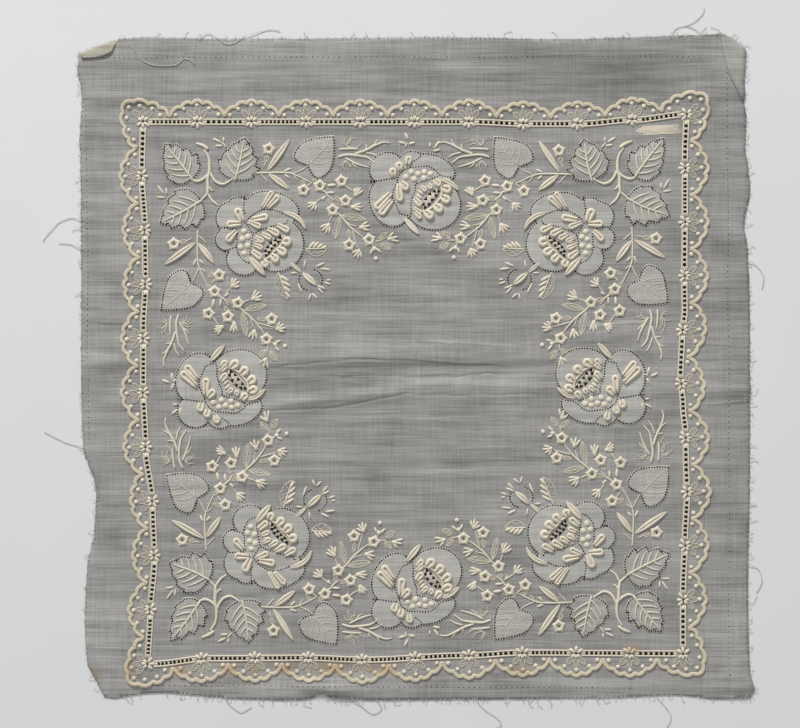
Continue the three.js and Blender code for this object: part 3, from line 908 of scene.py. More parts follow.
def thread_material(name, colour, pitch, relief):
    """Cotton worked in close stitches across a line, one pitch apart."""
    material, tree, sockets = new_material(name, roughness=0.6, sheen=0.25)
    measure = thread_measure(tree)
    turns = (measure["X"] + measure["Y"] * 0.35) * (2 * math.pi / pitch)
    wave = maths(tree, "SINE", turns) * 0.5 + 0.5
    fibres = mottle(tree, (900, 900, 900), 2.0, 0.6)
    patches = mottle(tree, (150, 170, 150), 2.0, 0.5)
    height = wave * 0.7 + fibres * 0.3
    # The grooves between stitches are painted darker as shade, and patches of tone lie at random.
    shade = height * 0.16 + patches * 0.16 + 0.84
    stain = used(tree, FOXING, Strength=1.3)["Mask"]
    feed(tinted(tree, colour, shade, stain), sockets["Base Color"])
    feed(bumped(tree, height, relief * MM), sockets["Normal"])
    return material


def hole_shadow_material():
    """Painted shadow standing for the dark inside a needle hole or an opening of the work."""
    material, tree, sockets = new_material("eyelet_shadow", roughness=1.0, sheen=0.0)
    shade = mottle(tree, (700, 700, 700), 2.0, 0.6) * 0.8 + 0.4
    stain = used(tree, FOXING, Strength=0.1)["Mask"]
    feed(tinted(tree, SHADOW, shade, stain), sockets["Base Color"])
    return material


LAWN = cloth_material(
    "sheer_lawn", thin=(0.272, 0.265, 0.25), dense=(0.31, 0.285, 0.236),
    slub=2.1, clouding=0.75, relief=0.16, creased=1.0,
)
APPLIED_LAWN = cloth_material(
    "doubled_lawn", thin=(0.3, 0.292, 0.27), dense=(0.385, 0.375, 0.343),
    slub=1.5, clouding=0.5, relief=0.14, creased=0.0,
)
COTTON = thread_material("satin_cotton", (0.64, 0.575, 0.455), pitch=0.42, relief=0.08)
EDGE_COTTON = thread_material("edging_cotton", (0.56, 0.49, 0.36), pitch=0.5, relief=0.09)
FINE_COTTON = thread_material("fine_cotton", (0.53, 0.485, 0.39), pitch=0.3, relief=0.04)
YARN = thread_material("frayed_yarn", (0.5, 0.485, 0.45), pitch=0.5, relief=0.03)
# Painted shadow for the holes and openings of the work.
HOLE_SHADOW = hole_shadow_material()

# The ground cloth, with its two corners turned over onto the face


def ground_bottom(x, y):
    return face(x, y) - LAWN_THICKNESS


# A turned corner: how wide its fold is, how far it stands off the face, and how it springs and rumples.
FOLD_WIDTH = 1.2
FLAP_LIFT = 0.42
FLAP_SPRING = 0.035
FLAP_RUMPLE = 0.12
# How far its fold line sinks into the cloth, and how thick it is there against the lawn.
FLAP_SINK = 0.12
FLAP_THIN = 0.35
# How far apart the points of the cloth, of a turned corner and of an applied piece lie.
CLOTH_SPACING = 2.15
FLAP_SPACING = 1.3
PATCH_SPACING = 1.15

cloth = Work()
sheet_of(cloth, CUT_EDGE, CLOTH_SPACING, face, ground_bottom)
flap_area = 0.0
for corner in TURNED_CORNERS:
    fold_line = smooth(corner["fold"], 1.2)
    free_edge = smooth(corner["inside"], 1.4)
    fold_tree = nearest(smooth(corner["fold"], 0.4))
    outline = fold_line + free_edge
    flap_area += area_of(outline)

    def flap_rise(x, y, tree=fold_tree):
        away = tree.find((x, y, 0.0))[2]
        turn = min(1.0, away / FOLD_WIDTH)
        return math.sqrt(max(0.0, 1 - (1 - turn) ** 2)), away

    def flap_top(x, y):
        turn, away = flap_rise(x, y)
        lift = FLAP_LIFT + FLAP_SPRING * away + FLAP_RUMPLE * noise.noise((x / 4, y / 4, 7.0))
        return face(x, y) + turn * (lift + LAWN_THICKNESS) - FLAP_SINK * (1 - turn)

    def flap_bottom(x, y):
        turn, _ = flap_rise(x, y)
        return flap_top(x, y) - LAWN_THICKNESS * (FLAP_THIN + (1 - FLAP_THIN) * turn)

    sheet_of(cloth, outline, FLAP_SPACING, flap_top, flap_bottom, corner["doubling"])
cloth_piece = cloth.finish("lawn_cloth", LAWN, "lawn")
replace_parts(cloth_piece, "ground_cloth")

# The work on the cloth, gathered by kind
# The dark discs in the holes, eyelets and openings of the work are painted shadow.
stems, fine_work, satin, seeds, hole_shadows, pin_stitch, border, edging, yarns = (Work() for _ in range(9))

PIN_PITCH = 1.5
PIN_HOLE = {"radius": 0.53, "vary": (0.82, 1.15), "height": 0.36, "sunk": 0.26}
# The binding thread between two holes: where it starts and ends beside their line, its width and height.
PIN_THREAD = {"near": 0.252, "far": 1.08, "width": 0.42, "height": 0.2}


def pin_row(path, level=ON_PATCH, closed=False):
    """A row of pin-stitch holes with the binding thread between them."""
    holes = evenly(path, PIN_PITCH, closed)
    count = len(holes)
    for i, hole in enumerate(holes):
        after = holes[(i + 1) % count]
        radius = PIN_HOLE["radius"] * chance.uniform(*PIN_HOLE["vary"])
        dot(hole_shadows, PEG, hole, radius, PIN_HOLE["height"], level - PIN_HOLE["sunk"])
        if i == count - 1 and not closed:
            continue
        _, tx, ty = heading(hole, after)
        middle = between(hole, after, 0.5)
        for side in (1, -1):
            near = beside(middle, tx, ty, 0, side * PIN_THREAD["near"])
            far = beside(middle, tx, ty, 0, side * PIN_THREAD["far"])
            stamp(pin_stitch, GRAIN, near, far, PIN_THREAD["width"], PIN_THREAD["height"], level - 0.1)


def each(make, place, rows, **how):
    """A worked shape for every row of a table."""
    for row in rows:
        make(place, *row, **how)


# How high a worked shape stands: a foot, and a share of its width.
RISES = {
    "cord": (0.2, 0.42), "pod": (0.3, 0.24), "loop": (0.42, 0.18),
    "loop_pad": (0.28, 0.07), "pad": (0.35, 0.25),
}


def rise_of(kind, width):
    foot, share = RISES[kind]
    return foot + share * width


def cord(place, width, points, level=ON_GROUND, shape=stalk, work=stems):
    path = smooth([place(*point) for point in points], 1.0)
    sweep(work, path, width, rise_of("cord", width), level, ROUND if width > 1.0 else FINE, shape)


POD_STEP = 0.8


def pod(place, start, end, width, level=ON_GROUND):
    """A padded satin pod, split down its middle."""
    a = place(*start)
    b = place(*end)
    steps = max(5, round(math.dist(a, b) / POD_STEP))
    path = [between(a, b, k / steps) for k in range(steps + 1)]
    sweep(satin, path, width, rise_of("pod", width), level, TWIN, almond)


# A satin loop: how much plumper it is than its row in a table says, its cord and the pad inside it against
# its width, and how far its legs close in at its start.
LOOP_PLUMPNESS = 1.13
LOOP_CORD = 0.44
LOOP_PAD = 0.62
LOOP_NECK = 0.55
LEG_STEPS = 5
BEND_STEPS = 6


def loop_end(share):
    return 0.62 + 0.38 * min(1.0, min(share, 1 - share) / 0.22)


def loop_pod(place, start, end, width, level=ON_PATCH):
    """A satin loop like a horseshoe, narrow where it starts and round where it ends."""
    width *= LOOP_PLUMPNESS
    a = place(*start)
    length, tx, ty = heading(a, place(*end))
    thick = LOOP_CORD * width
    spread = (width - thick) / 2
    straight = max(0.2 * length, length - width / 2)
    leg = []
    for k in range(LEG_STEPS):
        share = k / LEG_STEPS
        leg.append((straight * share, spread * (LOOP_NECK + (1 - LOOP_NECK) * share)))
    bend = []
    for k in range(BEND_STEPS + 1):
        angle = math.pi / 2 - math.pi * k / BEND_STEPS
        bend.append((straight + spread * math.cos(angle), spread * math.sin(angle)))
    plan = leg + bend + [(along, -across) for along, across in reversed(leg)]
    path = [beside(a, tx, ty, along, across) for along, across in plan]
    sweep(satin, path, thick, rise_of("loop", width), level, ROUND, loop_end)
    root = beside(a, tx, ty, 0.15 * length, 0)
    far = beside(a, tx, ty, length - 0.3 * width, 0)
    stamp(fine_work, PAD, root, far, LOOP_PAD * width, rise_of("loop_pad", width), level)


def pad(place, start, end, width, level=ON_GROUND):
    stamp(satin, PAD, place(*start), place(*end), width, rise_of("pad", width), level)


# Fine outlines, the area that holds one seed stitch, and the size of a seed stitch by where it lies.
RIM_WIDTH = 0.5
RIM_HEIGHT = 0.34
SEED_AREA = 0.62
LEAF_SEED = {"radius": 0.36, "height": 0.34}
HALF_LEAF_SEED = {"radius": 0.4, "height": 0.42}
PETAL_SEED = {"radius": 0.4, "height": 0.4}


def seed(middle, size):
    dot(seeds, GRAIN, middle, size["radius"], size["height"], ON_GROUND)


def leaf_swell(width, share):
    """Half the width of a narrow leaf at a share of its length."""
    return width / 2 * math.sin(math.pi * share) ** 0.7 if 0 < share < 1 else 0.0


def seed_leaf(place, base, tip, width, midrib=True):
    """A narrow leaf outlined in fine cord and filled with seed stitch."""
    a = place(*base)
    b = place(*tip)
    length, tx, ty = heading(a, b)
    steps = max(6, round(length / 1.3))
    loop = []
    for side in (1, -1):
        for k in range(steps):
            share = k / steps if side > 0 else 1 - k / steps
            loop.append(beside(a, tx, ty, length * share, leaf_swell(width, share) * side))
    sweep(fine_work, loop, RIM_WIDTH, RIM_HEIGHT, ON_GROUND, FINE, closed=True)
    if midrib:
        sweep(fine_work, smooth([a, b], 1.4), RIM_WIDTH, RIM_HEIGHT, ON_GROUND, FINE, stalk)
    count = max(6, round(length * width / SEED_AREA))
    for k in range(count):
        share = (k + 0.5) / count
        reach = max(0.0, leaf_swell(width, share) - 0.3) * chance.uniform(0.05, 1.0)
        seed(beside(a, tx, ty, length * share, reach if k % 2 else -reach), LEAF_SEED)


# A star flower: its satin ring, its five points from inside the ring outwards, its fine ring and its eyelet.
STAR_RING = {"reach": 2.12, "wave": 0.12, "width": 1.95, "height": 0.85, "steps": 20}
STAR_POINTS = {"count": 5, "root": 1.6, "tip": 4.0, "width": 2.3, "height": 0.75}
STAR_FINE_RING = {"radius": 1.08, "height": 0.3, "level": ON_GROUND + 0.08}
STAR_EYELET = {"radius": 0.58, "height": 0.37}


def star_flower(place, *middle):
    """A five-cornered satin flower round a sunk eyelet."""
    centre = place(*middle)
    turn = chance.uniform(-0.25, 0.25) + math.pi / 2
    count = STAR_POINTS["count"]
    ring = []
    for k in range(STAR_RING["steps"]):
        angle = turn + 2 * math.pi * k / STAR_RING["steps"]
        reach = STAR_RING["reach"] + STAR_RING["wave"] * math.cos(count * (angle - turn))
        ring.append(beside(centre, math.cos(angle), math.sin(angle), reach, 0))
    sweep(satin, ring, STAR_RING["width"], STAR_RING["height"], ON_GROUND, closed=True)
    for k in range(count):
        angle = turn + 2 * math.pi * k / count
        c, s = math.cos(angle), math.sin(angle)
        ends = [beside(centre, c, s, STAR_POINTS[end], 0) for end in ("root", "tip")]
        stamp(satin, POINT, *ends, STAR_POINTS["width"], STAR_POINTS["height"], ON_GROUND)
    dot(fine_work, RING, centre, STAR_FINE_RING["radius"], STAR_FINE_RING["height"], STAR_FINE_RING["level"])
    dot(hole_shadows, PEG, centre, STAR_EYELET["radius"], STAR_EYELET["height"], ON_GROUND)


# A bud's cup and fingers: the share of the way at which each ends or starts, its width and height.
BUD_CUP = {"end": 0.66, "width": 2.7, "height": 0.85}
BUD_FINGER = {"start": 0.22, "width": 1.5, "height": 0.8}


def bud(place, base, tips):
    """A small bud: a padded cup from its base, and satin fingers spreading out of it."""
    base = place(*base)
    ends = [place(*tip) for tip in tips]
    middle = tuple(sum(end[axis] for end in ends) / len(ends) for axis in (0, 1))
    cup_end = between(base, middle, BUD_CUP["end"])
    stamp(satin, PAD, base, cup_end, BUD_CUP["width"], BUD_CUP["height"], ON_GROUND)
    for end in ends:
        start = between(base, end, BUD_FINGER["start"])
        stamp(satin, PAD, start, end, BUD_FINGER["width"], BUD_FINGER["height"], ON_GROUND)


# A half-worked leaf: its satin fingers, at shares of its length, and how many seeds its other side has.
FINGERS = {"count": 4, "first": 0.12, "apart": 0.19, "reach": 0.32, "width": 1.9, "height": 0.8}
HALF_LEAF_SEEDS = 34
HALF_LEAF_STEPS = 12


def half_leaf(place, base, tip, width, satin_side):
    """A leaf with satin fingers along one side and seed stitch along the other."""
    a = place(*base)
    b = place(*tip)
    length, tx, ty = heading(a, b)
    for k in range(FINGERS["count"]):
        root = FINGERS["first"] + FINGERS["apart"] * k
        end = root + FINGERS["reach"]
        half = width / 2 * math.sin(math.pi * min(0.95, end)) ** 0.6 * satin_side
        start = beside(a, tx, ty, length * root, 0)
        point = beside(a, tx, ty, length * end, half)
        stamp(satin, PAD, start, point, FINGERS["width"], FINGERS["height"], ON_GROUND)
    sweep(stems, smooth([a, b], 1.2), 0.9, 0.6, ON_GROUND, FINE, stalk)
    rim = []
    for k in range(HALF_LEAF_STEPS + 1):
        share = k / HALF_LEAF_STEPS
        rim.append(beside(a, tx, ty, length * share, -leaf_swell(width, share) * satin_side))
    sweep(fine_work, rim, RIM_WIDTH, 0.36, ON_GROUND, FINE)
    for k in range(HALF_LEAF_SEEDS):
        share = (k + 1) / (HALF_LEAF_SEEDS + 1)
        across = -leaf_swell(width, share) * satin_side * chance.uniform(0.15, 0.88)
        seed(beside(a, tx, ty, length * share, across), HALF_LEAF_SEED)


# The applied leaves


# The teeth of a plain leaf's edge: the shares of its length where they start and end, and how they step.
TEETH = {"first": 0.18, "last": 0.88, "shift": 0.3, "middle": 0.62}


def leaf_half(kind, share, width, jog=0.0):
    """Half a leaf's width at a share of its length, with the jogs of a toothed edge."""
    half = 0.0
    if 0 < share < 1:
        half = width / 2 * math.sin(math.pi * share ** kind["bend"]) ** kind["roundness"]
    if TEETH["first"] < share < TEETH["last"]:
        half += jog * ((share * LEAF_STEPS + TEETH["shift"]) % 1.0 - TEETH["middle"])
    return half


def leaf_plan(quarter, upright, base, tip):
    """Plan points of a leaf from places down it and across it."""
    length, axis_a, axis_b = heading(base, tip)

    def place(along, across):
        a, b = beside(base, axis_a, axis_b, along, across)
        return pulled(*(from_corner(quarter, b, a) if upright else from_corner(quarter, a, b)))

    return place, length


def leaf_outline(place, kind, length, width, inset=0.0):
    points = []
    for i in range(LEAF_POINTS):
        t = 2 * math.pi * i / LEAF_POINTS
        from_base = min(t, 2 * math.pi - t)
        share = (1 - math.cos(t)) / 2
        along = length * share - kind["lobe"] * math.sin(math.pi * min(1.0, from_base))
        half = leaf_half(kind, share, width, kind["jogs"][0 if t < math.pi else 1])
        along += inset * (1 - 2 * share)
        half = max(0.0, half - inset)
        points.append(place(along, half if t < math.pi else -half))
    return points


def apply_lawn(name, outline, doubling):
    """A piece of the second lawn, stitched down along its edge and a little full inside it."""
    if signed_area(outline) < 0:
        outline = outline[::-1]
    tree = nearest(smooth(outline, 0.8, closed=True))

    def top(x, y):
        inward = min(1.0, tree.find((x, y, 0.0))[2] / PATCH_ROLL)
        fullness = PATCH_FULLNESS * noise.noise((x / 3.1, y / 3.1, 11.0))
        return face(x, y) + PATCH_EDGE + (PATCH_RISE + fullness) * math.sin(math.pi / 2 * inward)

    def bottom(x, y):
        return face(x, y) + PATCH_UNDER

    work = Work()
    sheet_of(work, outline, PATCH_SPACING, top, bottom, doubling)
    piece = work.finish("applied_" + name, APPLIED_LAWN, "applied_lawn")
    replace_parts(piece, name)
    size_of(outline)
    area_of(outline)


# Veins: how many pairs a plain leaf and a heart-shaped one have, and a plain leaf's curve against its reach.
VEIN_LEVEL = ON_PATCH - 0.08
VEIN_PAIRS = 4
VEIN_CURVE = [(0.26, 0.4), (0.58, 0.74), (0.95, 1)]
HEART_VEIN_PAIRS = 3
# Seed stitch scattered over a heart-shaped leaf.
SEED_ROWS = 20
SEED_PITCH = 1.32
SEED_LENGTH = 0.84
SEED_WIDTH = 0.42
SEED_HEIGHT = 0.26


def vein_leaf(place, length, width):
    """A raised midrib with curved veins to both sides."""
    cord(place, 1.15, [(0.3, 0), (length * 0.4, 0.5), (length * 0.88, 0)], ON_PATCH)
    for k in range(VEIN_PAIRS):
        root = length * (0.14 + 0.165 * k)
        reach = 0.66 * leaf_half(PLAIN_LEAF, min(0.86, root / length + 0.16), width)
        for side in (1, -1):
            start = root + (0.6 if side > 0 else -0.5)
            curve = [(start + along * reach, across * reach * side) for along, across in VEIN_CURVE]
            cord(place, 0.95, [(start, 0.3 * side)] + curve, ON_PATCH)


def seeded_heart(place, length, width):
    """Fine low veins and scattered seed stitch."""
    cord(place, 0.55, [(2.0, 0), (length * 0.5, 0.4), (length * 0.86, 0)], VEIN_LEVEL, work=fine_work)
    for k in range(HEART_VEIN_PAIRS):
        root = length * (0.12 + 0.2 * k)
        reach = 0.7 * leaf_half(HEART_LEAF, min(0.86, root / length + 0.14), width)
        for side in (1, -1):
            points = [(root, 0), (root + 0.3 * reach, 0.5 * reach * side), (root + 0.9 * reach, reach * side)]
            cord(place, 0.45, points, VEIN_LEVEL, work=fine_work)
    for i in range(SEED_ROWS):
        for j in range(-8, 9):
            along = (i + 0.5 + chance.uniform(-0.3, 0.3)) * length / SEED_ROWS
            across = (j + chance.uniform(-0.35, 0.35)) * SEED_PITCH
            if abs(across) < leaf_half(HEART_LEAF, along / length, width) - 1.6:
                middle = place(along, across)
                c, s = turned_by(chance.uniform(0, 180))
                ends = [beside(middle, c, s, side * SEED_LENGTH / 2, 0) for side in (-1, 1)]
                stamp(seeds, GRAIN, *ends, SEED_WIDTH, SEED_HEIGHT, ON_PATCH)


for quarter in QUARTERS:
    for name, kind, upright, width, base, tip in LEAVES:
        place, length = leaf_plan(quarter, upright, base, tip)
        apply_lawn(name + "_" + quarter["name"], leaf_outline(place, kind, length, width), kind["doubling"])
        pin_row(leaf_outline(place, kind, length, width, SEAM_INSET), closed=True)
        if kind is PLAIN_LEAF:
            vein_leaf(place, length, width)
        else:
            seeded_heart(place, length, width)

# The applied roses


def reach_of(petal, direction):
    """From the rose's middle to the far side of a petal in a direction, or nought if it misses."""
    x, y, length, width, turn = petal
    turn = math.radians(turn)
    local_x = -x * math.cos(turn) - y * math.sin(turn)
    local_y = x * math.sin(turn) - y * math.cos(turn)
    ray_x = math.cos(direction - turn)
    ray_y = math.sin(direction - turn)
    a = (ray_x / length) ** 2 + (ray_y / width) ** 2
    b = local_x * ray_x / length**2 + local_y * ray_y / width**2
    c = (local_x / length) ** 2 + (local_y / width) ** 2 - 1
    inside = b * b - a * c
    return 0.0 if inside < 0 else max(0.0, (-b + math.sqrt(inside)) / a)


# Rose stitching from its middle, to the right and upwards. Loops and bars: start, end, width.
CORNER_LOOPS = [
    ((-9.8, 6.5), (-13, 14.2), 4.6),
    ((-10.4, 5.5), (-19, 4.9), 3.9),
    ((-13.3, 1.5), (-19, -4.8), 3.8),
    ((-4.6, 7.6), (4.9, 9.4), 4.0),
    ((-6.4, 6.4), (0.8, 3.3), 3.3),
    ((1.4, 14), (8, 23.6), 2.9),
    ((4.4, 14), (11.6, 21), 3.3),
    ((9.8, 4.7), (16.6, 1), 3.6),
    ((4.4, 2.5), (11, -1), 3.7),
    ((1.1, -0.2), (6.5, -3.3), 3.2),
    ((-2.7, -2.2), (2.4, -4.7), 2.7),
    ((-3.4, -6.4), (1.6, -8.6), 2.9),
    ((-4.8, -9.8), (1, -14.3), 3.7),
    ((13, -4.4), (17.9, -5.4), 5.3),
    ((10, -8.5), (14.8, -12.1), 4.9),
    ((6.3, -12.2), (10.2, -16.3), 4.5),
    ((1.5, -15.2), (3.9, -19.3), 4.5),
]
CORNER_PODS = [((-6, -13.6), (2.6, -23.6), 4.2)]
CORNER_BARS = [((-2.9, -4.3), (1.8, -5.7), 1.6)]
CORNER_SWEEP = [(13.2, 12), (14.6, 11.5), (19.4, 9.7), (23.3, 6.5), (25.5, 2.2)]
CORNER_BEADS = [(-9.1, 1.1), (-6.9, -2), (-10, -3.3), (-7, -7), (-11.1, -7.8), (-9.1, -11.3)]
CORNER_RIM = [(2.4, -14.9), (5.3, -13.2), (8.5, -9.5), (11.4, -7.1), (13.5, -3.4), (13.9, -1.3)]
CORNER_NET = {"start": (1.9, -13.6), "end": (13, -1.3), "width": 4.4}
CORNER_PINS = [
    [(-8, 20.4), (-8.5, 16.9), (-9, 13), (-8.4, 11.2)],
    [(-8, 5.8), (-6.6, 8.2), (-2.7, 11.1), (2.1, 13.2), (7.9, 13), (12.6, 11.2)],
    [
        (15.6, 7), (14.4, 5.3), (10.8, 4.8), (6.9, 3.9), (3.1, 2.7), (-0.8, 1.2), (-4.1, 0), (-6.6, 3.4),
        (-8, 5.8),
    ],
    [(-21.5, 3), (-16.2, 2.9), (-13.1, 1.4), (-13.1, -2.4), (-13.3, -6.9), (-15.2, -8.2), (-20, -9.8)],
    [(-13.3, -8.2), (-12.3, -11.8), (-9.5, -15.3), (-6.6, -16.6)],
    [(-4.1, -1.2), (-4.6, -4.3), (-5.2, -8), (-5.8, -12)],
]
CORNER_OPENINGS = [
    (11.2, -2.4), (8.6, -3.9), (6.1, -5.6), (4.3, -7.7), (3, -9.9),
    (10.2, -4.9), (8.1, -6.7), (6.4, -8.7), (4.9, -10.8), (3.3, -12.4),
]
SIDE_LOOPS = [
    ((-11.3, 8.6), (-12.4, 13.7), 4.2),
    ((-7.7, 12), (-8.9, 17), 4.3),
    ((-3.7, 15.2), (-2.7, 20.2), 3.8),
    ((-7.7, 5.6), (-3.4, 1), 4.2),
    ((-8.7, 4.6), (-8.3, -5.7), 4.1),
    ((-13.4, -0.6), (-22.6, -9.6), 4.3),
    ((-12.9, -4.6), (-20.2, -12.9), 4.1),
    ((11.4, 6.9), (14.8, 3), 3.8),
    ((7.6, 4.3), (9.9, 1.5), 3.0),
    ((3.4, 3.2), (6.8, 0.2), 2.8),
    ((-0.2, -3.6), (3.4, -8.2), 3.6),
    ((-0.6, -9), (3.4, -12.4), 2.7),
    ((-0.2, -11.4), (3.3, -15.2), 3.2),
    ((15.8, 2.2), (20.9, 0.2), 5.0),
    ((15.2, -2.7), (19.7, -6.2), 5.0),
    ((11, -7.4), (15.2, -11.5), 5.0),
    ((5.3, -11), (9.9, -15.2), 5.0),
]
SIDE_PODS = [((-6.3, -14.6), (1.8, -24), 3.5)]
SIDE_BARS = [
    ((2, 0.9), (5.1, -1.9), 1.9),
    ((0.9, -1.2), (4.2, -4.4), 1.9),
    ((10.7, 5.6), (12.5, 2.5), 1.5),
]
SIDE_SWEEP = [(14.4, 6.7), (17, 6.2), (20.6, 4.5), (24.8, 0.8)]
SIDE_BEADS = [(-4.6, 8.3), (-1.6, 11), (0, 7), (2.2, 10), (5.7, 11), (5.5, 7.5), (9.2, 10)]
SIDE_RIM = [(3.9, -11.4), (6.3, -10.6), (9.4, -9), (11.6, -6.6), (13.8, -4.2), (15.2, -1.2), (15, 2.8)]
SIDE_NET = {"start": (3.4, -10), "end": (14.6, 2), "width": 4.8}
SIDE_PINS = [
    [
        (20.3, 8.1), (14.7, 9.2), (11.6, 12.1), (7.8, 14.2), (2, 13.9), (-3, 13.4), (-5.7, 12.1),
        (-8.1, 9.8), (-9.4, 6.7),
    ],
    [(-9.6, 5.4), (-11.5, 1.3), (-12.3, -1.8), (-11.9, -4.9), (-9.6, -9.9), (-8.4, -12.2), (-3, -13.7)],
    [
        (12.8, 8.6), (8.9, 6.9), (3.1, 5.2), (0.6, 4), (0.4, 0.9), (-1.1, -2.4), (-2.3, -6.8),
        (-2.3, -10.6), (-3, -13.7),
    ],
    [(-24.1, 5.9), (-19.4, 6.3), (-14.2, 7.3), (-11.1, 7.5)],
    [(0.1, 17.3), (1.7, 18.2), (3.4, 19.8)],
]
SIDE_OPENINGS = [
    (13.5, 0.3), (11.2, 0.2), (8.6, -1.3), (6.2, -4.1), (4.8, -7.1),
    (12, -2.2), (9.7, -4.7), (7.9, -7.2), (5.6, -9),
]


# The net's backing in steps, its openings, and its bars, each between two openings that lie near enough.
LENS_STEPS = 12
NET_HOLE = {"half": (1.45, 1.7), "width": (2.6, 3.0), "height": 0.2}
NET_BAR = {"furthest": 4.5, "share": 0.32, "width": 0.5, "height": 0.34, "level": ON_PATCH + 0.05}


def net(place, lens, holes):
    """The net in the rose's centre: thread bars between two rows of openings painted dark as shadow."""
    start, end = lens["start"], lens["end"]
    spine = [place(*between(start, end, k / LENS_STEPS)) for k in range(LENS_STEPS + 1)]
    sweep(fine_work, spine, lens["width"], 0.1, ON_PATCH, FLAT, almond)
    root = place(*start)
    tip = place(*end)
    length = math.dist(start, end)
    tx = (tip[0] - root[0]) / length
    ty = (tip[1] - root[1]) / length
    before = None
    for hole in holes:
        middle = place(*hole)
        left_of_axis = tx * (middle[1] - root[1]) > ty * (middle[0] - root[0])
        reach = chance.uniform(*NET_HOLE["half"]) * (-1 if left_of_axis else 1)
        ends = [beside(middle, tx, ty, -reach, 0), beside(middle, tx, ty, reach, 0)]
        stamp(hole_shadows, WEDGE, *ends, chance.uniform(*NET_HOLE["width"]), NET_HOLE["height"], ON_PATCH)
        if before and math.dist(before, middle) < NET_BAR["furthest"]:
            gap, gap_x, gap_y = heading(middle, before)
            centre = between(middle, before, 0.5)
            ends = [beside(centre, gap_x, gap_y, 0, side * NET_BAR["share"] * gap) for side in (1, -1)]
            stamp(stems, GRAIN, *ends, NET_BAR["width"], NET_BAR["height"], NET_BAR["level"])
        before = middle


BEAD = {"half": 1.75, "lean": 0.5, "width": (3.1, 3.7), "height": 0.72}
TURNED_EDGE = {"width": 2.9, "height": 1.0}


def rose(name, petals, middle, mirror, parts):
    """An applied rose with its padded petals, beads and net."""
    loops, pods, bars, turned, beads, rim, lens, holes, pins = parts

    def place(x, y):
        return pulled(middle[0] + mirror[0] * x, middle[1] + mirror[1] * y)

    outline = []
    seam = []
    for i in range(ROSE_POINTS):
        direction = 2 * math.pi * i / ROSE_POINTS
        c = math.cos(direction)
        s = math.sin(direction)
        reach = max(reach_of(petal, direction) for petal in petals)
        outline.append(place(reach * c, reach * s))
        seam.append(place((reach - SEAM_INSET) * c, (reach - SEAM_INSET) * s))
    apply_lawn(name, outline, ROSE_DOUBLING)
    pin_row(seam, closed=True)
    for line in pins:
        pin_row(smooth([place(*point) for point in line], 0.8))
    net(place, lens, holes)
    each(loop_pod, place, loops)
    each(pod, place, pods, level=ON_PATCH)
    each(pad, place, bars, level=ON_PATCH)
    turned_line = smooth([place(*point) for point in turned], 0.9)
    sweep(satin, turned_line, TURNED_EDGE["width"], TURNED_EDGE["height"], ON_PATCH, TWIN, almond)
    for bead in beads:
        x, y = place(*bead)
        lean = chance.uniform(-BEAD["lean"], BEAD["lean"])
        ends = ((x - BEAD["half"], y - lean), (x + BEAD["half"], y + lean))
        stamp(satin, PAD, *ends, chance.uniform(*BEAD["width"]), BEAD["height"], ON_PATCH)
    cord(place, 1.2, rim, ON_PATCH + 0.15, steady)
    return place


CORNER_PARTS = (
    CORNER_LOOPS, CORNER_PODS, CORNER_BARS, CORNER_SWEEP, CORNER_BEADS, CORNER_RIM, CORNER_NET,
    CORNER_OPENINGS, CORNER_PINS,
)
SIDE_PARTS = (
    SIDE_LOOPS, SIDE_PODS, SIDE_BARS, SIDE_SWEEP, SIDE_BEADS, SIDE_RIM, SIDE_NET, SIDE_OPENINGS, SIDE_PINS,
)
# Small sprigs between a side rose and the band, from the rose's middle: start, end, width.
ROSE_SPRIGS = [
    ((-9.5, 28), (-4.7, 27), 1.6),
    ((-5.7, 33.3), (-3.8, 28.8), 1.6),
    ((0.4, 27.9), (-3.5, 26.6), 1.6),
    ((-4.3, 27.7), (-5.6, 24.6), 1.1),
    ((8.5, 27.5), (8.5, 24.8), 1.3),
    ((13.9, 28.7), (10.8, 24.1), 1.5),
    ((14.7, 23.8), (10, 22.7), 1.5),
]

for quarter in QUARTERS:
    middle = from_corner(quarter, *CORNER_ROSE_AT)
    rose("rose_" + quarter["name"], CORNER_ROSE, middle, quarter["mirror"], CORNER_PARTS)
for name, middle, mirror in SIDE_ROSES:
    place = rose(name, SIDE_ROSE, middle, mirror, SIDE_PARTS)
    if name in ("rose_left", "rose_right"):
        each(pad, lambda x, y, upright=place: upright(-y, x), ROSE_SPRIGS)
    else:
        each(pad, place, ROSE_SPRIGS)

# Stems and sprays of a quarter, along a side of the band from its corner and inwards. Stems: width, points.
BRANCH = [
    (1.9, [(36.2, 41), (36.7, 36.1), (36.8, 31.4), (37.8, 26.8), (37.3, 20.3), (34.6, 15.6)]),
    (1.9, [(36.8, 15.4), (34, 13.4), (29.9, 11.9)]),
    (1.6, [(36.8, 29.5), (34.5, 31.8), (31.3, 33.2), (28.5, 32.6), (26.6, 30.6)]),
    (1.6, [(38, 27.7), (39.6, 31.4), (42, 34), (45.2, 34.9), (48, 33.7), (51.4, 31.4)]),
    (1.2, [(37.1, 36.1), (38.7, 38.4), (40.1, 38.6)]),
    (1.4, [(36.4, 40.2), (38.7, 44.4), (42.2, 47)]),
    (1.2, [(36.2, 40.2), (33.4, 43), (31.7, 44.4)]),
    (1.0, [(46.9, 14.4), (45.6, 12.6), (44.3, 11.4)]),
]
BRANCH_PADS = [
    ((39, 9.1), (44.1, 11.7), 1.5),
    ((45.2, 8.4), (45.5, 11.4), 1.3),
    ((40.4, 13.3), (45.2, 13.5), 1.5),
    ((8.5, 35.1), (12.2, 40.7), 1.3),
    ((13.4, 36.5), (13.4, 40.7), 1.3),
    ((7.1, 41.8), (12.7, 42.1), 1.2),
]
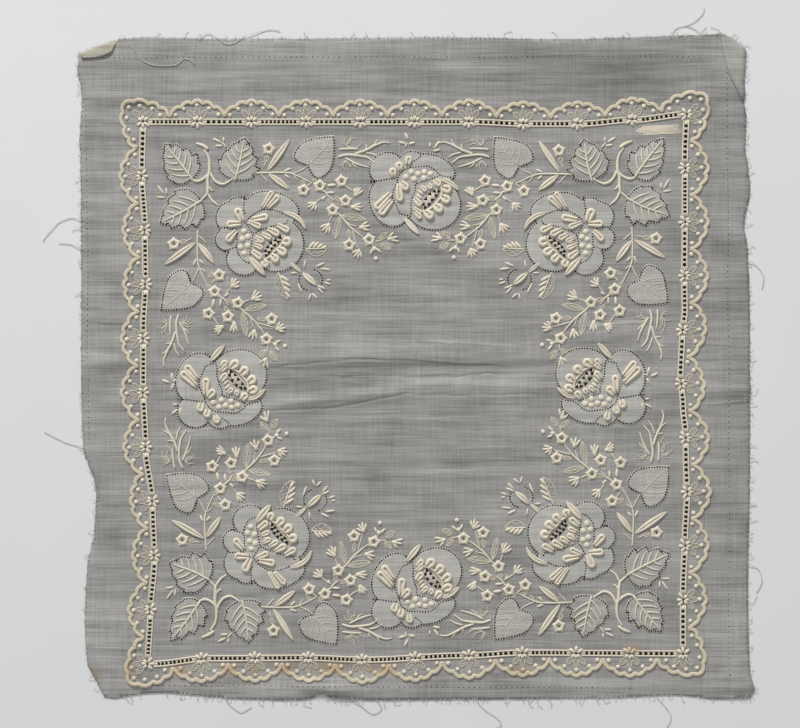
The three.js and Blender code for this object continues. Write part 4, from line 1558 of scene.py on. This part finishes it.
TWIG = [
    (1.05, [(63.4, 28.9), (66.4, 28.6), (78.7, 28.4), (84.9, 29.4), (94.9, 34.2)]),
    (0.7, [(66.4, 29.2), (68.4, 31.2), (70.7, 33.9)]),
    (0.7, [(69.2, 22.7), (68.4, 24.5), (67.9, 25.7)]),
    (0.7, [(84.9, 28.9), (90.4, 26.4), (92.4, 24.7)]),
    (0.7, [(84.9, 29.7), (86, 31.4), (87.2, 32.9)]),
]
TWIG_PODS = [
    ((70.2, 27.6), (82.2, 9.8), 3.6),
    ((70.8, 29), (82.2, 37.8), 3.6),
]
TWIG_PADS = [
    ((79.2, 27.7), (83.7, 25.9), 1.4),
    ((79.7, 29.2), (82.7, 31.9), 1.4),
]
TWIG_FLOWER = (70.7, 15.2)
TWIG_CALYX = ((69.2, 22.7), (70.1, 18.6), 2.4)
SPRAY_FLOWERS = [
    (90.2, 38.4), (99.4, 35.9), (111.7, 33.2), (113.4, 44.2), (105.9, 49.4), (114.9, 68.9), (126.2, 65.9),
]
SPRAY_STEMS = [
    (1.1, [(97.9, 38), (101.9, 38.9), (103.9, 41.7), (107.4, 44.2)]),
    (0.75, [(94.9, 34.2), (92.4, 36), (91.4, 37)]),
    (1.1, [(107.9, 50.8), (109.9, 52.2), (114.9, 58.2), (120.9, 63.2), (124.4, 65.2)]),
    (0.75, [(129.4, 66.9), (131.4, 66.6), (133.4, 66.7)]),
    (0.75, [(111.4, 54.2), (114.9, 57.2), (119.6, 58.4)]),
    (0.75, [(105.4, 52), (104.4, 54.4), (103.7, 56.4)]),
    (0.75, [(116.9, 61), (118.4, 66.2), (119.6, 70.6)]),
    (0.75, [(127.4, 67.9), (128.9, 70.2), (129.6, 71.4)]),
    (0.75, [(101.4, 41.9), (98.4, 43.9), (96.4, 45.2)]),
    (0.75, [(113.9, 46.2), (115.9, 46.9), (117.2, 47.4)]),
    (0.75, [(113.4, 35.6), (116.4, 37.8), (119.2, 39.2)]),
]
SPRAY_PADS = [
    ((102.9, 39.7), (107.9, 39.5), 1.5),
    ((102.2, 41.2), (100.2, 44.2), 1.4),
    ((103.2, 35.7), (108.7, 35.2), 1.9),
]
CALYXES = [
    ((91.2, 31.9), (89, 36), 2.1),
    ((95.8, 31.6), (97.6, 34.4), 2.0),
    ((107.6, 42.2), (111, 44), 2.1),
    ((104, 43), (105.5, 46.8), 2.1),
    ((114.4, 60.2), (115.2, 66), 2.1),
]
BUDS = [
    ((118.5, 42.1), [(119, 36.6), (120.8, 36.1), (122.4, 36.5), (123.8, 38)]),
    ((115.7, 47.7), [(122.4, 45.4), (123.3, 47.5), (122.4, 49.7)]),
    ((97.1, 44.9), [(91.4, 46), (91.6, 48.2), (93.4, 50.1), (96.2, 50.2)]),
    ((104.1, 56.5), [(98.2, 59.4), (99.2, 61.6), (101.4, 63.2), (103.8, 63)]),
    ((120.3, 59.3), [(125.7, 55.4), (127.1, 57.8), (126.6, 60.7)]),
    ((120.8, 70.9), [(116.2, 73.6), (117.4, 76), (119.6, 77.2), (122, 76.4)]),
    ((128.7, 69.5), [(126.6, 74.3), (133, 73.4)]),
    ((136.1, 65.8), [(140, 61.8), (142.8, 64.2), (143.4, 67)]),
]
BUD_BEAD = (129.9, 76.4)
SEED_LEAVES = [
    ((110.6, 52.3), (124.5, 54.6), 3.6),
    ((109.7, 53.2), (106.9, 65.8), 3.4),
    ((132, 65.8), (136.4, 62), 3.0),
    ((132.9, 68.1), (138.2, 71.5), 3.3),
]
FERNS = [
    (1.2, [(109.9, 15.3), (115, 15), (120.9, 15.1)]),
    (1.4, [(109.4, 19.6), (114.9, 18.4), (123.9, 19.4), (126.9, 20.4), (130.4, 23.2)]),
    (1.4, [(118.9, 17.9), (124.9, 15.9), (129.9, 13.2), (134.9, 11.4), (138.3, 11.9)]),
    (1.0, [(125.4, 17.2), (129.4, 18.2), (132.9, 20.2)]),
    (1.2, [(113.7, 20.2), (118.9, 22.9), (122.4, 24.2), (126.9, 25.4)]),
    (0.9, [(117.4, 22.7), (119, 24.6), (120.9, 25.7)]),
    (0.9, [(124.7, 15.7), (125.4, 14), (125.2, 12.4)]),
    (0.9, [(128.4, 13.7), (130.2, 12), (131.2, 9.9)]),
]
TUFTS = [
    (
        (113.7, 13.2),
        [(111.4, 9.9), (113.6, 9), (115.9, 9.2), (116.4, 7.2), (119.9, 9.2), (123.4, 11.7), (121.4, 13.7)],
    ),
    ((113.9, 21.6), [(110.4, 24.6), (111.8, 26.9), (114, 27.6), (116.4, 26.8), (117.9, 25)]),
]
HALF_LEAVES = [
    ((90.4, 71.2), (102.4, 71), 8.4),
    ((74.9, 84.2), (80.7, 99.7), 8.4),
]
ROSEBUD_PODS = [
    ((88.4, 84.6), (96.4, 91.6), 3.6),
    ((81.3, 78.8), (88.1, 84.6), 2.2),
]
ROSEBUD_PADS = [
    ((96.4, 91.6), (101.9, 93.9), 1.4),
    ((97.1, 92.6), (100.6, 96.8), 1.4),
    ((90.1, 77.5), (89.3, 82.3), 1.2),
    ((81.6, 84.9), (85.8, 84.6), 1.2),
    ((95.8, 81.3), (101.4, 78.8), 1.4),
    ((98.3, 82.1), (104.7, 83), 1.4),
    ((101.9, 88.6), (104.7, 88.6), 1.2),
    ((100.6, 89.7), (104.7, 91.3), 1.3),
    ((86, 90.3), (88.5, 96.6), 1.4),
    ((93.5, 96.1), (92.2, 100.3), 1.2),
    ((93.8, 96.1), (97.4, 99.3), 1.3),
]
# The pin-stitched oval of the rosebud: its arcs run from one direction in degrees to another.
ROSEBUD_OVAL = {"middle": (93, 88.5), "half": (6.6, 6.0), "arcs": [(-70, 20), (110, 200)]}
ARC_STEPS = 18


def twig(place):
    each(cord, place, TWIG)
    each(pod, place, TWIG_PODS)
    each(pad, place, TWIG_PADS)
    star_flower(place, *TWIG_FLOWER)
    seed_leaf(place, *TWIG_CALYX, midrib=False)


def spray(place):
    each(cord, place, SPRAY_STEMS)
    each(star_flower, place, SPRAY_FLOWERS)
    each(pad, place, SPRAY_PADS)
    each(seed_leaf, place, CALYXES, midrib=False)
    each(bud, place, BUDS)
    dot(satin, PAD, place(*BUD_BEAD), 1.35, 0.85, ON_GROUND)
    each(seed_leaf, place, SEED_LEAVES)


def fern(place):
    each(cord, place, FERNS)
    for root, tips in TUFTS:
        for tip in tips:
            lean = 0.22 * chance.choice((-1, 1))
            bend_x = (root[0] + tip[0]) / 2 + (tip[1] - root[1]) * lean
            bend_y = (root[1] + tip[1]) / 2 - (tip[0] - root[0]) * lean
            cord(place, 0.6, [root, (bend_x, bend_y), tip], work=fine_work)


# How far a motif is moved, along the side and inwards, where it runs up the side of the band.
UPRIGHT_SHIFTS = {twig: (-2.8, 1.0), spray: (-4.2, 3.2), fern: (-2.0, 0.0)}
for quarter in QUARTERS:
    def level(a, b, quarter=quarter):
        return pulled(*from_corner(quarter, a, b))

    def upright(motif, quarter=quarter):
        along, inward = UPRIGHT_SHIFTS[motif]
        return lambda a, b: pulled(*from_corner(quarter, b + inward, a + along))

    each(cord, level, BRANCH)
    each(pad, level, BRANCH_PADS)
    each(half_leaf, level, HALF_LEAVES, satin_side=quarter["mirror"][0] * quarter["mirror"][1])
    each(pod, level, ROSEBUD_PODS)
    each(pad, level, ROSEBUD_PADS)
    oval_x, oval_y = ROSEBUD_OVAL["middle"]
    half_x, half_y = ROSEBUD_OVAL["half"]
    for first, last in ROSEBUD_OVAL["arcs"]:
        arc = []
        for k in range(ARC_STEPS + 1):
            c, s = turned_by(first + (last - first) * k / ARC_STEPS)
            arc.append(level(oval_x + half_x * c, oval_y + half_y * s))
        pin_row(arc, 0.0)
    for motif in (twig, spray, fern):
        motif(level)
        motif(upright(motif))

# The border: the ladder band, its rosettes and the scalloped edging


ACROSS = BAND["right"] - BAND["left"]
DOWN = BAND["top"] - BAND["bottom"]
# The four sides of the band: where each starts, its direction and its length.
BAND_SIDES = [
    (BAND["left"], BAND["top"], 1, 0, ACROSS),
    (BAND["right"], BAND["top"], 0, -1, DOWN),
    (BAND["right"], BAND["bottom"], -1, 0, ACROSS),
    (BAND["left"], BAND["bottom"], 0, 1, DOWN),
]


def beside_band(side, along, outward):
    x, y, dx, dy, _ = side
    return pulled(*beside((x, y), dx, dy, along, outward))


def along_band(side, first, last, outward, steps):
    return [beside_band(side, first + (last - first) * k / steps, outward) for k in range(steps + 1)]


# The ladder band: two rails on a thin strip, and its squares as shares of their pitch and in millimetres.
RAIL = {"offset": 1.4, "width": 0.9, "height": 0.6, "steps": 20}
STRIP = {"width": 2.4, "height": 0.2, "steps": 14}
SQUARE = {"stray": 0.06, "half": (0.34, 0.41), "tall": (2.05, 2.4), "height": 0.24}
# The squares stop this far from a rosette's middle, and the rails run on towards it by the overlap.
ROSETTE_CLEAR = 4.9
RAIL_OVERLAP = 1.8
SQUARES = (7, 8, 8, 9)
# Satin petals of a rosette: direction in degrees, 90 towards the edge, and reach.
ROSETTE_PETALS = [(38, 3.4), (90, 3.1), (142, 3.4), (217, 4.6), (270, 4.2), (323, 4.6)]
PETAL = {"root": 0.35, "width": 2.3, "height": 0.95}
ROSETTE_SHIFT = 0.3
ROSETTE_EYELET = {"radius": 0.42, "height": 0.6}
# Its three open petals towards the edge: directions, distance of their middle and half their size.
OPEN_PETALS = {"directions": (49, 90, 131), "middle": 5.4, "length": 2.4, "width": 1.35, "steps": 12}
OPEN_CORD = {"width": 0.6, "height": 0.44}
OPEN_PETAL_SEEDS = [(4.3, 0.3), (4.8, -0.5), (5.2, 0.55), (5.7, -0.15), (6.2, 0.4), (6.3, -0.5), (6.9, 0)]
ROSETTE_DOTS = [(-7.5, 7.3), (-0.3, 9.4), (6.5, 7.5), (-12.2, 3.8), (11.8, 4.1)]
DOT_RADII = (1.2, 1.42)
CORNER_DOT_RADIUS = 1.3
DOT_HEIGHT = 0.85


def rosette(side, along):
    """Satin petals round a tiny eyelet, with three open petals towards the edge."""

    def place(x, y):
        return beside_band(side, along + x, y + ROSETTE_SHIFT)

    for direction in OPEN_PETALS["directions"]:
        c, s = turned_by(direction)
        loop = []
        for k in range(OPEN_PETALS["steps"]):
            t = 2 * math.pi * k / OPEN_PETALS["steps"]
            reach = OPEN_PETALS["middle"] + OPEN_PETALS["length"] * math.cos(t)
            loop.append(place(*beside((0, 0), c, s, reach, OPEN_PETALS["width"] * math.sin(t))))
        if signed_area(loop) < 0:
            loop = loop[::-1]
        sweep(fine_work, loop, OPEN_CORD["width"], OPEN_CORD["height"], ON_GROUND, FINE, closed=True)
        for reach, across in OPEN_PETAL_SEEDS:
            seed(place(*beside((0, 0), c, s, reach, across)), PETAL_SEED)
    for direction, reach in ROSETTE_PETALS:
        c, s = turned_by(direction + chance.uniform(-5, 5))
        reach *= chance.uniform(0.94, 1.06)
        root = place(PETAL["root"] * c, PETAL["root"] * s)
        tip = place(reach * c, reach * s)
        stamp(border, DROP, root, tip, PETAL["width"], PETAL["height"], ON_GROUND)
    dot(hole_shadows, PEG, place(0, 0), ROSETTE_EYELET["radius"], ROSETTE_EYELET["height"], ON_GROUND)


for side in BAND_SIDES:
    pitch = side[4] / ROSETTES_A_SIDE
    for i in range(ROSETTES_A_SIDE):
        rosette(side, i * pitch)
        start = i * pitch + ROSETTE_CLEAR
        end = (i + 1) * pitch - ROSETTE_CLEAR
        first = start - RAIL_OVERLAP
        last = end + RAIL_OVERLAP
        for offset in (RAIL["offset"], -RAIL["offset"]):
            rail = along_band(side, first, last, offset, RAIL["steps"])
            sweep(border, rail, RAIL["width"], RAIL["height"], ON_GROUND, FINE)
        strip = along_band(side, first, last, 0, STRIP["steps"])
        sweep(border, strip, STRIP["width"], STRIP["height"], ON_GROUND, FLAT)
        squares = chance.choice(SQUARES)
        for k in range(squares):
            stray = chance.uniform(-SQUARE["stray"], SQUARE["stray"])
            along = start + (end - start) * (k + 0.5 + stray) / squares
            half = (end - start) / squares * chance.uniform(*SQUARE["half"])
            ends = along_band(side, along - half, along + half, 0, 1)
            stamp(hole_shadows, HOLE, *ends, chance.uniform(*SQUARE["tall"]), SQUARE["height"], ON_GROUND)
    for i in range(1, ROSETTES_A_SIDE):
        for x, y in ROSETTE_DOTS:
            middle = beside_band(side, i * pitch + x, y)
            dot(border, PAD, middle, chance.uniform(*DOT_RADII), DOT_HEIGHT, ON_GROUND)


def lobe_swing(share, lobes):
    return SCALLOP_SWING * (abs(math.sin(math.pi * lobes * share)) ** 0.8 - 0.55)


def corner_scallop(side):
    inset = CORNER_SCALLOP["inset"]
    lobes = CORNER_SCALLOP["lobes"]
    pitch = side[4] / ROSETTES_A_SIDE
    valley = math.atan2(SCALLOP_VALLEY + inset, pitch / 2 - inset)
    points = []
    steps = CORNER_SCALLOP["steps"] * lobes
    for i in range(steps):
        share = i / steps
        direction = (math.pi * 1.5 - valley) * (1 - share) + valley * share
        corner = math.sin(math.pi * share) ** CORNER_SCALLOP["squareness"]
        reach = CORNER_SCALLOP["nearest"] * (1 - corner) + CORNER_SCALLOP["furthest"] * corner
        reach += lobe_swing(share, lobes)
        along = inset + reach * math.cos(direction)
        points.append(beside_band(side, along, reach * math.sin(direction) - inset))
    return points


def side_scallop(side, number, crest):
    pitch = side[4] / ROSETTES_A_SIDE
    points = []
    steps = SCALLOP_STEPS * SCALLOP_LOBES
    for i in range(steps):
        share = i / steps
        arch = math.sin(math.pi * share) ** 0.8
        outward = SCALLOP_VALLEY + (crest - SCALLOP_VALLEY) * arch + lobe_swing(share, SCALLOP_LOBES)
        points.append(beside_band(side, pitch * (number - 0.5 + share), outward))
    return points


scallop_line = []
for side, crest in zip(BAND_SIDES, SCALLOP_CRESTS):
    scallop_line += corner_scallop(side)
    for number in range(1, ROSETTES_A_SIDE):
        scallop_line += side_scallop(side, number, crest)
edging_path = evenly(scallop_line, EDGING_PITCH, closed=True)
sweep(edging, edging_path, EDGING_WIDTH, EDGING_HEIGHT, ON_GROUND, RIBBED, closed=True)
# The dots inside each corner scallop, outside the corner rosette: out along both sides.
CORNER_DOTS = [(-9.2, 2.2), (-7.9, 8), (-1.7, 8.8), (5.1, 7.3), (9.6, 3.8), (-7.9, -4.6), (-5, -9.9)]
for quarter in QUARTERS:
    right, up = quarter["mirror"]
    corner_x = BAND["left"] if right > 0 else BAND["right"]
    corner_y = BAND["top"] if up > 0 else BAND["bottom"]
    for x, y in CORNER_DOTS:
        middle = pulled(corner_x + right * x, corner_y + up * y)
        dot(border, PAD, middle, CORNER_DOT_RADIUS, DOT_HEIGHT, ON_GROUND)

# A darned place under the top band, near its right end: rows of close running threads.
DARN = {"left": 122.5, "right": 149.2, "top": 134.8, "bottom": 130.3, "rows": 9, "steps": 12}
DARN_SLOPE = 0.05
DARN_WAVER = 0.22
DARN_THREAD = {"width": 0.66, "height": 0.24}
for k in range(DARN["rows"]):
    across = DARN["bottom"] + (DARN["top"] - DARN["bottom"]) * k / (DARN["rows"] - 1)
    first = DARN["left"] + chance.uniform(0, 2.2) + 0.9 * abs(k - 4)
    last = DARN["right"] - chance.uniform(0, 1.5)
    wavering = []
    for i in range(DARN["steps"] + 1):
        x = first + (last - first) * i / DARN["steps"]
        waver = DARN_WAVER * noise.noise((x * 0.25, k * 3.0, 8.0))
        wavering.append((x, across + DARN_SLOPE * (x - first) + waver))
    sweep(stems, wavering, DARN_THREAD["width"], DARN_THREAD["height"], ON_GROUND, FINE, stalk)

# Rows of tiny needle holes left in the margin: start, end.
NEEDLE_ROWS = [
    ((-178, 173.5), (168, 174.5)),
    ((174.5, 168), (176, -172)),
    ((-184.5, 150), (-183, -40)),
    ((-150, -178), (120, -179.5)),
]
NEEDLE = {"pitch": 3.0, "radius": 0.33, "vary": (0.7, 1.3), "height": 0.34, "level": -0.3}
ROW_STEPS = 40
ROW_DRIFT = 0.8
for start, end in NEEDLE_ROWS:
    upright_row = abs(end[0] - start[0]) < abs(end[1] - start[1])
    wavy = []
    for k in range(ROW_STEPS + 1):
        share = k / ROW_STEPS
        drift = ROW_DRIFT * noise.noise((share * 7, start[0] * 0.1, 3.0))
        x, y = between(start, end, share)
        wavy.append((x + drift, y) if upright_row else (x, y + drift))
    for hole in evenly(wavy, NEEDLE["pitch"]):
        radius = NEEDLE["radius"] * chance.uniform(*NEEDLE["vary"])
        dot(hole_shadows, PEG, hole, radius, NEEDLE["height"], NEEDLE["level"])

# Loose yarns at the cut edges. Long ones: points from the cloth outwards.
LONG_YARNS = [
    [(-186, 82), (-192, 84), (-199, 82), (-205, 76), (-209, 71)],
    [(-186, 66), (-193, 69), (-200, 70)],
    [(-186, -44), (-193, -43), (-200, -40), (-208, -36)],
    [
        (-161, 182.5), (-156, 176), (-152.7, 171.7), (-146.2, 169.2), (-138.4, 168.9), (-133.4, 169.9),
        (-129.8, 172.8), (-126.2, 172.1), (-123.4, 169.2),
    ],
    [
        (-121.2, 183), (-118.4, 186.8), (-114.8, 187.1), (-111.2, 184.6), (-106.2, 181), (-100.5, 182),
        (-97, 184.8), (-91, 187), (-82, 189.4), (-76, 188.6),
    ],
    [
        (143.2, 184), (142.9, 187.1), (145.4, 189.8), (150.8, 191.5), (156.2, 189.8), (159.6, 187.2),
        (160.4, 184.6),
    ],
    [(150.8, 191.5), (153.5, 192.6), (157.5, 195), (161, 198.6), (161.6, 201.6)],
    [(147.5, 185.5), (151, 187), (154.5, 186)],
    [(-107, -184), (-104, -189), (-98, -193), (-92, -190)],
    [(-36, -185), (-30, -190), (-24, -194), (-19, -191), (-22, -186)],
    [(33, -185), (38, -191), (45, -196), (48, -200), (43, -203)],
    [(134, -183), (139, -189), (143, -195), (141, -201), (136, -204)],
    [(186, 60), (191, 57), (195, 51), (194, 44)],
    [(186, -110), (192, -113), (194, -120), (191, -126)],
]


YARN_SIDES = 5
YARN_STEP = 1.3
YARN_LIFT = 0.06
YARN_WAVE = 0.25
LONG_YARN_WIDTH = 0.34
# Frayed ends all round the cut edge: their pitch, the share left out, the share that is short, and how far
# the short and the long ones reach.
FRAYED = {"width": 0.26, "root": 0.8, "pitch": 2.6, "bare": 0.35, "most": 0.85}
SHORT_ENDS = (0.5, 2.2)
LONG_ENDS = (2.5, 5.0)


def yarn(points, width):
    """A round loose yarn that lies on the cloth and on the floor beside it."""
    path = smooth(points, YARN_STEP)
    start = len(yarns.points)
    for i, (x, y) in enumerate(path):
        _, tx, ty = heading(path[max(0, i - 1)], path[min(len(path) - 1, i + 1)])
        base = face(x, y) + YARN_LIFT + YARN_WAVE * (0.5 + 0.5 * noise.noise((x / 5, y / 5, 1.0)))
        for k in range(YARN_SIDES):
            angle = 2 * math.pi * k / YARN_SIDES
            across = math.cos(angle) * width / 2
            rise = math.sin(angle) * width / 2
            yarns.add(*beside((x, y), tx, ty, 0, across), base + width / 2 + rise, i * YARN_STEP, across)
    for i in range(len(path) - 1):
        here = start + YARN_SIDES * i
        there = here + YARN_SIDES
        for k in range(YARN_SIDES):
            nxt = (k + 1) % YARN_SIDES
            yarns.faces.append((here + nxt, here + k, there + k, there + nxt))
    last = start + YARN_SIDES * (len(path) - 1)
    yarns.faces.append(tuple(start + k for k in range(YARN_SIDES)))
    yarns.faces.append(tuple(last + YARN_SIDES - 1 - k for k in range(YARN_SIDES)))


for points in LONG_YARNS:
    yarn(points, LONG_YARN_WIDTH)
cut_points = evenly(CUT_EDGE, FRAYED["pitch"], closed=True)
for i, point in enumerate(cut_points):
    if chance.random() < FRAYED["bare"]:
        continue
    _, tx, ty = heading(cut_points[i - 1], point)
    reach = chance.uniform(*(SHORT_ENDS if chance.random() < FRAYED["most"] else LONG_ENDS))
    slide = chance.uniform(-1.0, 1.0) * reach
    bend = chance.uniform(-0.6, 0.6) * reach
    # The cloth lies to the left of its cut edge.
    frayed = [(0, FRAYED["root"]), (bend, -reach / 2), (slide, -reach)]
    yarn([beside(point, tx, ty, along, across) for along, across in frayed], FRAYED["width"])

# The finished pieces
stems.finish("corded_stems", COTTON, "cotton_thread")
fine_work.finish("fine_outlines", FINE_COTTON, "cotton_thread")
satin.finish("satin_work", COTTON, "cotton_thread")
seeds.finish("seed_stitch", FINE_COTTON, "cotton_thread")
# Dark discs of painted shadow in the holes and openings.
hole_shadows.finish("stitch_hole_shadows", HOLE_SHADOW, "lawn")
pin_stitch.finish("pin_stitch", FINE_COTTON, "cotton_thread")
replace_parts(border.finish("ladder_and_rosettes", COTTON, "cotton_thread"), "ladder_band")
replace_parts(edging.finish("scalloped_edging", EDGE_COTTON, "cotton_thread"), "scallop_edging")
yarn_piece = yarns.finish("loose_yarns", YARN, "lawn")
area_of(CUT_EDGE) + flap_area

# Floor, light and camera
FLOOR_WIDTH = 6
FLOOR_LEVEL = -0.0001
FLOOR_SHADE = 0.62
FLOOR_CLOUDING = 0.05
bpy.ops.mesh.primitive_plane_add(size=FLOOR_WIDTH, location=(0, 0, FLOOR_LEVEL))
floor = bpy.context.object
floor.name = "floor"
floor_material, floor_tree, floor_sockets = new_material("pale_floor", roughness=0.8, sheen=0.0)
floor_shade = mottle(floor_tree, (9, 9, 9)) * FLOOR_CLOUDING + FLOOR_SHADE
feed(floor_shade, floor_sockets["Base Color"])
floor.data.materials.append(floor_material)


def soft_light(name, place, size, power):
    """A rectangular light that looks at the middle of the cloth."""
    data = bpy.data.lights.new(name, "AREA")
    data.shape = "RECTANGLE"
    data.size, data.size_y = size
    data.energy = power
    lamp = bpy.data.objects.new(name, data)
    lamp.location = place
    x, y, height = place
    lamp.rotation_euler = (math.atan2(math.hypot(x, y), height), 0, math.atan2(-y, -x) - math.pi / 2)
    bpy.context.scene.collection.objects.link(lamp)


# Lights: name, place, width and length, power.
LIGHTS = [
    ("key_light", (-1.1, 3.0, 1.5), (1.0, 0.7), 162),
    ("fill_light", (0.5, -0.5, 2.2), (1.8, 1.8), 11),
]
for light in LIGHTS:
    soft_light(*light)
SKY_COLOUR = (0.95, 0.97, 1.0, 1)
SKY_STRENGTH = 0.35
world = bpy.data.worlds.new("studio")
world.use_nodes = True
sky = world.node_tree.nodes["Background"].inputs
sky["Color"].default_value = SKY_COLOUR
sky["Strength"].default_value = SKY_STRENGTH
bpy.context.scene.world = world
bpy.context.scene.view_settings.view_transform = "Standard"

# The camera looks straight down on a stretch of cloth this wide, from over this point.
VIEW_WIDTH = 0.448
VIEW_MIDDLE = (-0.00893, 0.00103)
FACE_HEIGHT = 0.001
LENS = 100.0
SENSOR = 36.0
camera_data = bpy.data.cameras.new("camera")
camera_data.lens = LENS
camera_data.sensor_fit = "HORIZONTAL"
camera_data.sensor_width = SENSOR
camera = bpy.data.objects.new("camera", camera_data)
camera.location = (*VIEW_MIDDLE, VIEW_WIDTH * LENS / SENSOR + FACE_HEIGHT)
bpy.context.scene.collection.objects.link(camera)
bpy.context.scene.camera = camera
